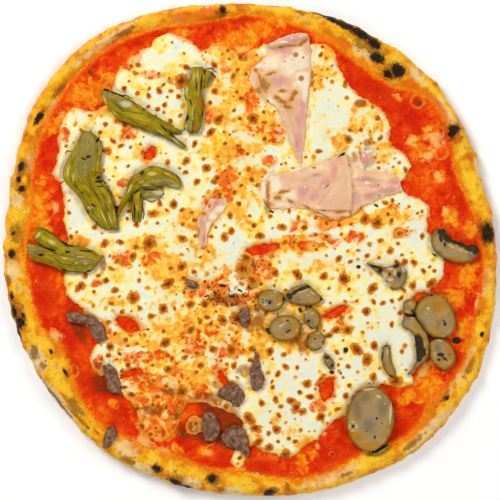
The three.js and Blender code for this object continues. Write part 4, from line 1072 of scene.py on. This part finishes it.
sheet = bmesh.new()
for path in FRAYED_ENDS:
    spots = [plan(x, y) for x, y in path]
    dense = [spots[0]]
    for start, end in zip(spots, spots[1:]):
        dense += [start + (end - start) * share for share in (0.33, 0.66, 1)]
    rings = []
    for index, (x, y) in enumerate(dense):
        ahead = dense[min(index + 1, len(dense) - 1)] - dense[max(index - 1, 0)]
        half = THREAD_HALF_WIDTH * (0.35 + 0.65 * math.sin(math.pi * (index + 0.5) / len(dense)))
        dx, dy = np.array([-ahead[1], ahead[0]]) * half / np.hypot(*ahead)
        z = THREAD_LEVEL + 0.5 * MM * math.sin(math.pi * index / (len(dense) - 1))
        corners = [(x + dx, y + dy, z), (x, y, z + half), (x - dx, y - dy, z), (x, y, z - half)]
        rings.append([sheet.verts.new(corner) for corner in corners])
    for before, after in zip(rings, rings[1:]):
        for corner in range(4):
            following = (corner + 1) % 4
            sheet.faces.new((before[corner], before[following], after[following], after[corner]))
    sheet.faces.new(rings[0])
    sheet.faces.new(rings[-1])
bmesh.ops.recalc_face_normals(sheet, faces=sheet.faces)
thread = Finish("dried_thread", 0.6, (34, 27, 10))
piece_from(mesh_from(sheet, "artichoke_frayed_ends"), "artichoke_frayed_ends", thread, "artichoke")

# ---------------------------------------------------------------- cooked ham
# Thin slices of pink cooked ham, torn and dropped on in folds. They lie half in the cheese; their
# tops dried paler and crisped brown in places. Mauve shade is painted in and beside the folds, a
# brown shadow under one curled edge, and white glints on the moist tops.

HAM_CELL = 0.5 * MM
HAM_RIPPLE = 0.4 * MM
FOLD_RISE = 0.9 * MM
FOLD_DIP = 0.5 * MM  # to the left of each fold's path
HAMS = {  # folds are paths of plan x, y and half-width, and the rest are marks as ovals
    "ham_tall": {
        "folds": [
            [(309, 44, 2), (311, 60, 2), (310, 84, 2), (308, 110, 2), (305, 136, 1.4)],
            [(272, 42, 2), (284, 38, 2.4), (298, 35, 2.4), (308, 31, 2)],
            [(286, 108, 2), (291, 124, 2), (296, 142, 1.6)],
        ],
        "mauve": [(292, 36, 15, 5, 10), (284, 46, 12, 5), (304, 106, 4, 22, -3), (299, 138, 5, 18),
            (278, 78, 12, 8), (300, 118, 6, 10), (308, 70, 2, 30)],
        "film": [(301, 58, 11, 13), (290, 62, 9, 10), (272, 58, 12, 7, 10), (303, 76, 9, 12),
            (306, 88, 4, 12), (258, 61, 5, 4), (272, 96, 6, 4, -40)],
        "crisp": [(256, 67, 2, 4, 30), (260, 74, 2, 7, 25), (264, 82, 6, 8, 20), (258, 88, 4, 4),
            (283, 88, 5, 1.8), (295, 90, 4, 3, 30), (292, 96, 5, 3, 50), (284, 99, 7, 3, -20),
            (277, 95, 5, 3, -20), (288, 104, 6, 2.4, -15), (304, 38, 6, 2, 35), (286, 133, 2.4, 2, 30),
            (271, 70, 6, 2, 20), (290, 42, 12, 1)],
        "pale": [(298, 122, 9, 16, 4), (284, 80, 12, 8)],
        "blister": [(296.5, 51, 3, 3), (302, 75, 3, 3), (304, 54, 1.6, 1.2), (285, 58, 1.6, 0.8, 20)],
        "wet": [(287, 31.5, 3, 0.9, 8), (296, 30, 3.4, 0.8, 8), (284, 38.5, 5, 0.9, -3), (292, 35, 0.9, 0.9),
            (301, 33, 0.8, 0.8), (279, 34.5, 2, 0.8, -30), (284, 83, 0.7, 1.2)],
    },
    "ham_wide": {
        "folds": [
            [(340, 156, 2), (339, 170, 2.6), (330, 183, 3), (321, 194, 3), (312, 206, 2)],
            [(350, 158, 1.6), (352, 172, 1.8), (354, 190, 1.8), (353, 206, 1.6)],
            [(300, 178, 3), (310, 173, 3), (322, 168, 3), (332, 160, 2)],
            [(356, 176, 2), (370, 175, 3), (386, 179, 3), (400, 184, 2)],
            [(356, 190, 2), (370, 192, 3), (384, 187, 3), (398, 187, 2)],
        ],
        "mauve": [(335, 170, 3.5, 11, -8), (326, 182, 11, 5, 40), (315, 194, 10, 6, 50), (304, 190, 8, 9),
            (372, 194, 10, 5, 15), (390, 188, 14, 5, 10), (397, 180, 8, 5), (366, 177, 11, 3),
            (358, 196, 6, 9), (376, 184, 8, 3), (318, 173, 6, 3)],
        "film": [(262, 188, 5, 10), (276, 184, 6, 10), (290, 193, 8, 7, -20), (280, 203, 12, 3),
            (372, 204, 8, 3, 20), (270, 176, 8, 3, 10)],
        "crisp": [(268, 190, 2, 13), (268, 203, 6, 3), (278, 196, 4, 3, 20), (284, 190, 8, 2, 15),
            (292, 200, 5, 2, -30), (318, 211, 8, 1.5, -25), (328, 216, 8, 2.2, -22), (342, 210, 6, 2, 10),
            (308, 206, 6, 1.4, -30), (301, 165, 1.4, 4, 20), (352, 213, 1.4, 5, 5), (346, 217, 8, 2.4),
            (362, 207, 5, 2, 30)],
        "pale": [(342, 195, 11, 14), (330, 205, 12, 8, -20), (346, 172, 4, 14), (345, 160, 4, 6),
            (290, 176, 14, 5), (372, 171, 12, 2)],
        "blister": [(315, 165.5, 2.4, 1.2)],
        "wet": [(369, 181, 2.4, 1.3), (386, 185, 1.4, 0.7, 20), (306, 185, 1.2, 0.8),
            (324, 184, 1.2, 0.7, 30), (376, 187, 1, 0.7), (398, 184, 1, 0.7), (362, 176, 1.2, 0.6),
            (360, 186, 0.8, 0.6)],
    },
    "ham_small_right": {
        "folds": [[(362, 148, 2), (366, 156, 2), (369, 163, 1.4)]],
        "mauve": [(368, 158, 7, 6), (364, 150, 3, 6)],
        "film": [(371, 147, 9, 2.6), (377, 152, 3, 3)],
        "crisp": [(361, 152, 1.6, 6), (376, 155, 4, 1.4, 20)],
        "pale": [(372, 154, 4, 3)],
        "blister": [(367, 147, 1.4, 1.4)],
        "wet": [(365, 153, 1, 2.4, 10), (369, 150, 2, 0.7)],
    },
    "ham_small_left": {
        "folds": [[(216, 198, 2), (209, 208, 2), (202, 222, 2), (202, 242, 1.4)]],
        "mauve": [(217, 202, 8, 7), (201, 222, 4, 12, 5), (203, 238, 3, 7)],
        "film": [(221, 208, 6, 4), (212, 215, 6, 4, -40), (208, 226, 3, 6)],
        "crisp": [(209, 204, 1.4, 4), (203, 212, 3, 3), (203, 247, 3, 3), (218, 196, 5, 1.4),
            (198, 230, 1.4, 5)],
        "pale": [(208, 214, 5, 5)],
        "blister": [(209, 204, 1.2, 2.4)],
        "wet": [(222, 206, 1, 0.8)],
    },
}

ham = Finish("cooked_ham", 0.38, lit=0.22, reach=(3.2, 1.4, 1.0))
_, patch, _, fine = ham.clouds(cloud=(11, 3), patch=(3.4, 4), ragged=(1.8, 5), fine=(1.1, 3))
pink_stops = [(0.25, 220, 166, 134), (0.5, 232, 188, 152), (0.72, 240, 208, 160)]
ham.colour = ham.ramp(pink_stops, cloud=1, patch=0.5)
ham.stain(0.7, (226, 178, 138), -0.2, 0.6, pale=1, patch=0.5)
# Painted shade: mauve in and beside the folds.
ham.stain(0.8, (210, 144, 136), -0.35, 0.8, mauve=1, patch=0.9, ragged=0.4)
ham.stain(0.85, (238, 226, 194), -0.3, 0.6, film=1, patch=1.2, ragged=0.8)
# Crisped brown edges, and the same brown as painted shadow under the curled edge of the tall slice.
ham.stain(0.7, (224, 162, 70), -0.9, 0.2, crisp=1, patch=0.9, ragged=1.3)
ham.stain(0.8, (160, 92, 18), -0.1, 0.6, crisp=1, ragged=2.0, fine=0.8)
ham.stain(0.3, (236, 186, 120), 0.3, -0.05, inset=1, patch=0.8)
ham.stain(0.85, (168, 92, 26), -0.1, 0.2, blister=1, fine=0.5)
# Painted highlights: near-white glints on the moist meat.
ham.stain(0.9, (250, 226, 220), -0.2, 0.3, wet=1)
ham.done(0.3 + 0.3 * fine, patch + 0.5 * fine, 0.3 * MM)

for number, (node, marks) in enumerate(HAMS.items()):
    blank = laid_on(node, HAM_CELL, HAM_RIPPLE, 21 + 2.7 * number, 0.7 * MM)
    lift = 0
    for stations in marks.pop("folds"):
        _, across, _ = beside_path(blank[1], stations)
        lift += FOLD_RISE * np.exp(-(across**2)) - FOLD_DIP * np.exp(-((across - 2) ** 2))
    topped(node, blank, lift, 1.5 * MM, marks, ham, "slice")

# ---------------------------------------------------------------- mushrooms
# Button mushrooms, sliced through cap and stem or left as small caps, tossed in oil. The flesh baked
# tan and grey, the cut edges ochre, and the gills went black.

MUSHROOM_CELL = 0.4 * MM
MUSHROOM_LUMP = 0.25 * MM
GILL_DEPTH = 0.7 * MM
CUT_LIP = 0.35 * MM
LIP_INSET = 1.6 * MM
MUSHROOMS = {  # marks as ovals, by what follows mushroom_ in the name of the solid
    "large": {
        "grey": [(372, 420, 17, 25)],
        "slate": [(358, 410, 6, 13, 10), (366, 398, 8, 6, 20), (384, 408, 6, 11), (370, 426, 8, 8)],
        "warm": [(368, 447, 20, 5, 8), (352, 436, 5, 12, 20), (362, 392, 8, 3, 20), (351, 405, 3, 12, -10),
            (358, 438, 10, 6)],
        "gills": [(378, 419, 1.4, 1.4), (368, 432, 0.9, 0.9), (376, 438, 1.2, 2, -10), (354, 427, 1.5, 1.8),
            (383, 424, 0.8, 0.8)],
        "bright": [(380, 397, 3, 2, -20), (392, 412, 1.3, 14, -4), (370, 389.6, 8, 1.1, 5),
            (350.6, 427, 0.9, 3.6), (357.6, 427, 0.9, 3.6), (354, 422.6, 3, 0.8), (354, 431.4, 3, 0.8),
            (386, 404, 0.9, 0.9)],
    },
    "small": {
        "grey": [(445, 350, 9, 10, 24)],
        "slate": [(440, 348, 4, 6, 20)],
        "warm": [(452, 352, 5, 9, 24), (442, 366, 6, 5), (448, 341, 6, 2)],
        "gills": [(443, 355, 4, 2.4), (447, 359, 4, 1.2, -40), (441, 360, 2, 1.6), (452, 355, 1.2, 0.8)],
        "bright": [(437, 353, 1.2, 1), (442, 340.6, 4, 0.9, -10), (442, 357, 0.9, 0.9)],
    },
    "cap": {
        "grey": [(430, 320, 10, 14, -20), (448, 326, 8, 10)],
        "slate": [(424, 326, 5, 9, 10)],
        "warm": [(440, 304, 12, 10), (434, 332, 10, 4, -10)],
        "gills": [(433, 294.5, 2, 1.6, -40), (447, 324, 1.6, 2.4, -30), (446, 321, 1, 2, 30)],
        "bright": [(430, 308, 2, 1.6), (428, 313, 0.8, 0.8), (446, 336, 3, 0.8)],
    },
    "cap_side": {
        "grey": [(408, 304, 4, 4)],
        "slate": [(414, 310, 3, 3)],
        "warm": [(414, 300, 6, 4)],
        "gills": [(408, 314, 5, 1.2, -10), (415, 311, 3, 1, -30)],
        "bright": [(412, 303, 1.4, 1)],
    },
    "gilled_left": {
        "grey": [(409, 324, 7, 5, -20), (424, 363, 6, 4, 35)],
        "slate": [(424, 364, 5, 3, 35), (408, 318, 6, 2, -10)],
        "warm": [(418, 328, 6, 2, -45), (425, 337, 2, 7, 22), (429, 348, 2, 7, 5), (428, 360, 3, 3)],
        "gills": [(421, 342, 5, 9, 14), (423, 352, 6, 7), (421, 359, 3.4, 3.4), (412, 315.6, 7, 1.3, -10),
            (421, 321.6, 6, 1, -48), (430.6, 338, 0.8, 8, 16), (431.6, 350, 0.8, 6, -5),
            (415, 374, 5, 0.8, 35)],
        "bright": [(411, 314, 3, 0.8, -10), (429, 352, 1.6, 1, 20), (426, 344, 0.7, 4, 10),
            (414, 317.8, 3, 0.6, -15)],
    },
    "stem": {
        "grey": [(388, 356, 4, 8, -5)],
        "slate": [(386, 366, 3, 5)],
        "warm": [(388, 370, 6, 6), (396, 378, 5, 4)],
        "gills": [(391, 377, 5, 1.8, -15), (384, 358, 0.8, 8, -10), (398, 382, 3, 2), (388, 346, 2, 0.9)],
        "bright": [(389, 352, 1, 4)],
    },
    "under_cheese": {
        "grey": [(398, 280, 8, 9, 20)],
        "slate": [(400, 276, 7, 8, -10), (384, 268, 6, 4, -20), (404, 270, 5, 6)],
        "warm": [(391.5, 273, 3.4, 4), (394, 287, 5, 3)],
        "gills": [(377, 266, 7, 1.6, -14), (382, 269.5, 2.6, 3.2, -30), (398, 265, 3.6, 2.6, 20),
            (401, 274, 2.4, 3.4), (391.5, 273.5, 1.4, 2)],
        "bright": [(386, 276, 3, 5), (396.5, 272, 1.6, 4), (392, 268, 4, 1.4), (392, 279, 4, 2),
            (406, 267, 3, 5), (388, 285, 5, 4)],
    },
    "gilled_right": {
        "grey": [(441, 246, 6, 11, 15), (455, 252, 14, 5, -18), (472, 256, 8, 4)],
        "slate": [(474, 255, 6, 4), (441, 252, 4, 3), (438, 232, 4, 4)],
        "warm": [(456, 258, 12, 2, -12), (466, 260.6, 8, 1.4), (434, 238, 2, 8)],
        "gills": [(444, 231, 5, 4), (449, 237, 6, 3.8, -45), (456, 240, 6, 3, -30), (464, 243.5, 6, 3, -22),
            (472, 247.5, 6, 3.4, -15), (478, 248.5, 4, 6), (475, 243.5, 3, 1.6), (443, 237, 2, 5, 10),
            (447, 243.5, 1.4, 3), (436, 253, 4, 0.9, -30)],
        "bright": [(454, 245.6, 5, 0.9, -27), (463, 249, 3, 0.8, -20), (469, 250.5, 1.4, 0.9),
            (451, 239, 1, 0.6)],
    },
    "banded": {
        "grey": [(306, 297, 14, 5)],
        "slate": [(298, 299, 6, 4)],
        "warm": [(320, 299, 4, 5), (306, 303.5, 12, 1.6)],
        "gills": [(290, 296, 3, 4, 30), (295, 292, 4.6, 2.2, 35), (303, 288, 7, 2.1, 20),
            (309, 286, 3.4, 1.8), (322, 299, 1.2, 3)],
        "bright": [(303, 290.8, 6, 0.7, 20), (314, 293, 3, 0.8, -30), (309, 295, 0.8, 0.8),
            (301, 297, 0.8, 0.8)],
    },
    "dark_crescent": {
        "grey": [(380, 448, 5, 3, 20)],
        "slate": [(382, 447, 7, 4, 20), (388, 442, 4, 4)],
        "warm": [(374, 451, 3, 1)],
        "gills": [(384, 449, 7, 1.4, 30), (376, 453, 5, 1, 10)],
        "bright": [(380, 447, 4, 0.9, 20)],
    },
    "round_a": {
        "grey": [(269, 302, 8, 7)],
        "slate": [(271, 302, 4, 4)],
        "warm": [(266, 291, 8, 4, 15), (280, 298, 4, 8, -10), (272, 310, 9, 2)],
        "gills": [(270, 302, 1.6, 2.2, -10), (267, 300, 1, 1), (284, 299, 1.4, 3)],
        "bright": [(265, 304, 2, 1), (276, 291, 3, 0.8, -15), (279, 304, 3, 0.8, 30)],
    },
    "round_b": {
        "grey": [(282, 328, 9, 7, -8)],
        "slate": [(288, 330, 5, 4)],
        "warm": [(292, 316, 11, 3, -6), (297, 328, 5, 8), (288, 339, 10, 3, 8), (278, 318, 5, 4, 30)],
        "gills": [(289, 331, 3.6, 1, 30), (288, 320.5, 2, 0.9), (302, 330, 1, 5), (300, 320, 1, 1.6)],
        "bright": [(281, 326, 2.4, 1), (297, 330, 1.2, 1), (284, 324, 3, 0.7, 20)],
    },
    "behind": {
        "grey": [(312, 316, 5, 5)],
        "slate": [(310, 322, 6, 5)],
        "warm": [(318, 314, 3, 8, 20), (308, 308, 3, 3)],
        "gills": [(304, 323, 1.4, 5, 10), (309, 321, 2, 1.6), (310, 328, 4, 1)],
        "bright": [(306, 312, 1.6, 2), (313, 313, 2, 0.8)],
    },
    "chopped": {
        "grey": [(318, 342, 6, 6)],
        "slate": [(320, 350, 5, 3)],
        "warm": [(314, 334, 7, 4, 20), (323, 346, 3, 3), (310, 346, 2, 5)],
        "gills": [(320, 353, 5, 1.6, -25), (309, 336, 1, 4), (316, 339, 1.4, 1), (324, 342, 1.4, 0.9)],
        "bright": [(323, 346, 2, 1.4), (319, 333, 1.6, 0.9)],
    },
    "dark_bit": {
        "grey": [(326, 357, 2, 2)],
        "slate": [(330, 362, 4, 5, -28)],
        "warm": [(331, 361, 2, 2)],
        "gills": [(328, 358, 3, 2, -30), (333, 366, 2, 2), (330, 370, 1, 3, -20)],
        "bright": [(329, 360, 0.8, 1.6, -20)],
    },
}

mushroom = Finish("baked_mushroom", 0.4, lit=0.12, reach=(1.6, 1.2, 0.8))
patch, fine = mushroom.clouds(patch=(4.5, 4), fine=(1.1, 3))
tan_stops = [(0.25, 142, 108, 44), (0.5, 166, 134, 68), (0.75, 184, 156, 96)]
mushroom.colour = mushroom.ramp(tan_stops, patch=1, fine=0.4)
mushroom.stain(0.75, (160, 134, 96), -0.15, 0.55, grey=1, patch=0.5)
mushroom.stain(0.75, (124, 100, 80), -0.3, 0.8, slate=1, patch=1.1, fine=0.5)
mushroom.stain(0.75, (178, 118, 14), -0.2, 0.65, warm=1, patch=1.0, fine=0.4)
mushroom.stain(0.5, (134, 98, 26), 0.62, 0.2, inset=1, fine=0.25)
mushroom.stain(0.5, (84, 58, 10), 0.16, 0.0, inset=1, fine=0.25)
# Painted highlights: pale glints on the wet flesh.
mushroom.stain(0.6, (216, 206, 176), -0.1, 0.4, bright=1)
mushroom.stain(0.93, (34, 26, 20), -0.12, 0.25, gills=1, fine=0.45, patch=0.3)
mushroom.done(0.26 + 0.3 * fine, fine + 0.5 * patch, 0.35 * MM)

for number, (name, marks) in enumerate(MUSHROOMS.items()):
    blank = laid_on(f"mushroom_{name}", MUSHROOM_CELL, MUSHROOM_LUMP, 41 + 1.9 * number, 0.2 * MM)
    points, _, inset = blank[1:]
    dent = GILL_DEPTH * np.clip(2 * inside_ovals(points, marks["gills"]), 0, 1)
    dent *= 0.6 + 0.4 * np.sin(points[:, 0] / (0.35 * MM) + points[:, 1] / (0.6 * MM))
    lip = CUT_LIP * np.exp(-(((inset - LIP_INSET) / (0.9 * MM)) ** 2))
    topped(f"mushroom_{name}", blank, lip - dent, MM, marks, mushroom, "slice")

# ---------------------------------------------------------------- anchovies
# Broken fillets of salted anchovy, brown and mauve with silvery skin, flaking and wet with oil.
# Pale specks stand for the silver skin and for painted glints on it.

ANCHOVY_CELL = 0.42 * MM
ANCHOVY_LUMP = 0.3 * MM
FLAKE = 0.55 * MM

anchovy = Finish("salted_anchovy", 0.42, lit=0.08, reach=(1.2, 0.8, 0.6))
patch, fine = anchovy.clouds(patch=(2.6, 4), fine=(0.9, 3))
anchovy.colour = anchovy.ramp(
    [(0.25, 78, 44, 24), (0.42, 118, 80, 56), (0.58, 142, 106, 80), (0.75, 172, 138, 112)], patch=1, fine=0.35
)
# Pale specks: the silver skin, with painted glints on it.
anchovy.stain(0.4, (216, 190, 170), 0.64, 0.72, fine, within=patch.past(0.45, 0.55))
anchovy.stain(0.6, (122, 52, 26), 0.3, -0.05, inset=1, patch=0.8)
anchovy.done(0.28 + 0.35 * fine, fine + 0.7 * patch, 0.7 * MM)

for number, node in enumerate(sorted(name for name in TOPPINGS if name.startswith("anchovy"))):
    blank = laid_on(node, ANCHOVY_CELL, ANCHOVY_LUMP, 61 + 2.3 * number, 0.8 * MM)
    flaked = FLAKE * uneven(blank[1], 1.8 * MM, 3, 5 + number)
    topped(node, blank, flaked, MM, {}, anchovy, "fillet")

# ---------------------------------------------------------------- herbs and burnt crumbs
# A pinch of dried oregano and pepper, a few green leaf scraps, and bits of burnt flour.

FLECKS = [  # plan x, y, half-length and half-width in plan units, turn
    (222, 285, 4, 1.4, 10), (240, 290, 3, 1, 30), (360, 266, 2.4, 2, 0), (343, 153, 4.5, 1.6, -40),
    (460, 341, 4.5, 3.4, 0), (231, 296, 2.5, 0.8, -20), (214, 292, 2.2, 0.9, 40), (208, 287, 1.8, 0.8, 0),
    (226, 303, 1.6, 0.8, 60), (236, 304, 1.4, 0.9, 20), (246, 296, 2, 0.8, -40), (218, 298, 1.4, 0.7, 0),
    (229, 289, 1.8, 0.7, 70), (347, 350, 2.6, 2.6, 0), (342, 374, 1.2, 1, 0), (371, 384, 0.9, 0.7, 0),
    (394, 327, 0.8, 0.6, 0), (104, 181, 1, 0.8, 0), (172, 138, 0.9, 0.8, 0), (381, 194, 0.8, 0.6, 0),
    (401, 202, 1, 0.8, 0), (333, 373, 2.4, 2, 30), (437, 254, 3.6, 0.9, 30), (380, 183, 0.6, 0.6, 0),
    (249, 287, 1.5, 0.8, 0),
]
GREEN_FLECKS = [
    (268.5, 331, 4.6, 2.2, 60), (301, 310, 2.6, 2, 80), (272, 210, 2.8, 1.2, 30), (275, 342, 1.6, 1, 20),
    (205, 296, 1.4, 0.9, 0), (268, 98, 1, 0.9, 0), (378, 204, 2.6, 1.4, 30), (255, 350, 1.2, 0.8, 0),
]
LOOSE_FLECKS = 90
SAUCE_LEVEL = 5.6 * MM


def flecks_on(places, thickness, name, finish):
    """Small curled scraps lying on whatever is under them."""
    depsgraph = bpy.context.evaluated_depsgraph_get()
    sheet = bmesh.new()
    for x, y, long_half, wide_half, turn in places:
        x, y = plan(x, y)
        hit, found, *_ = bpy.context.scene.ray_cast(depsgraph, Vector((x, y, 0.1)), Vector((0, 0, -1)))
        level = found.z if hit and found.z > 4 * MM else SAUCE_LEVEL
        size = Matrix.Diagonal((long_half * PLAN_UNIT, wide_half * PLAN_UNIT, thickness, 1))
        place = Matrix.Translation((x, y, level + 0.4 * thickness))
        place = place @ Matrix.Rotation(math.radians(-turn), 4, "Z") @ size
        for vert in bmesh.ops.create_icosphere(sheet, subdivisions=2, radius=1, matrix=place)["verts"]:
            vert.co += 0.3 * thickness * noise.noise_vector(vert.co / (1.2 * MM))
    piece_from(mesh_from(sheet, name), name, finish, "cheese")


random.seed(SEED + 9)
scattered = list(FLECKS)
for _ in range(LOOSE_FLECKS):
    x = random.gauss(224, 20)
    y = random.gauss(296, 13)
    scattered.append((x, y, random.uniform(0.5, 1.3), random.uniform(0.3, 0.6), random.uniform(0, 180)))
flecks_on(scattered, 0.45 * MM, "dried_herb_flecks", Finish("dried_herb", 0.65, (48, 34, 18)))
flecks_on(GREEN_FLECKS, 0.5 * MM, "green_leaf_scraps", Finish("herb_leaf", 0.5, (52, 66, 14)))
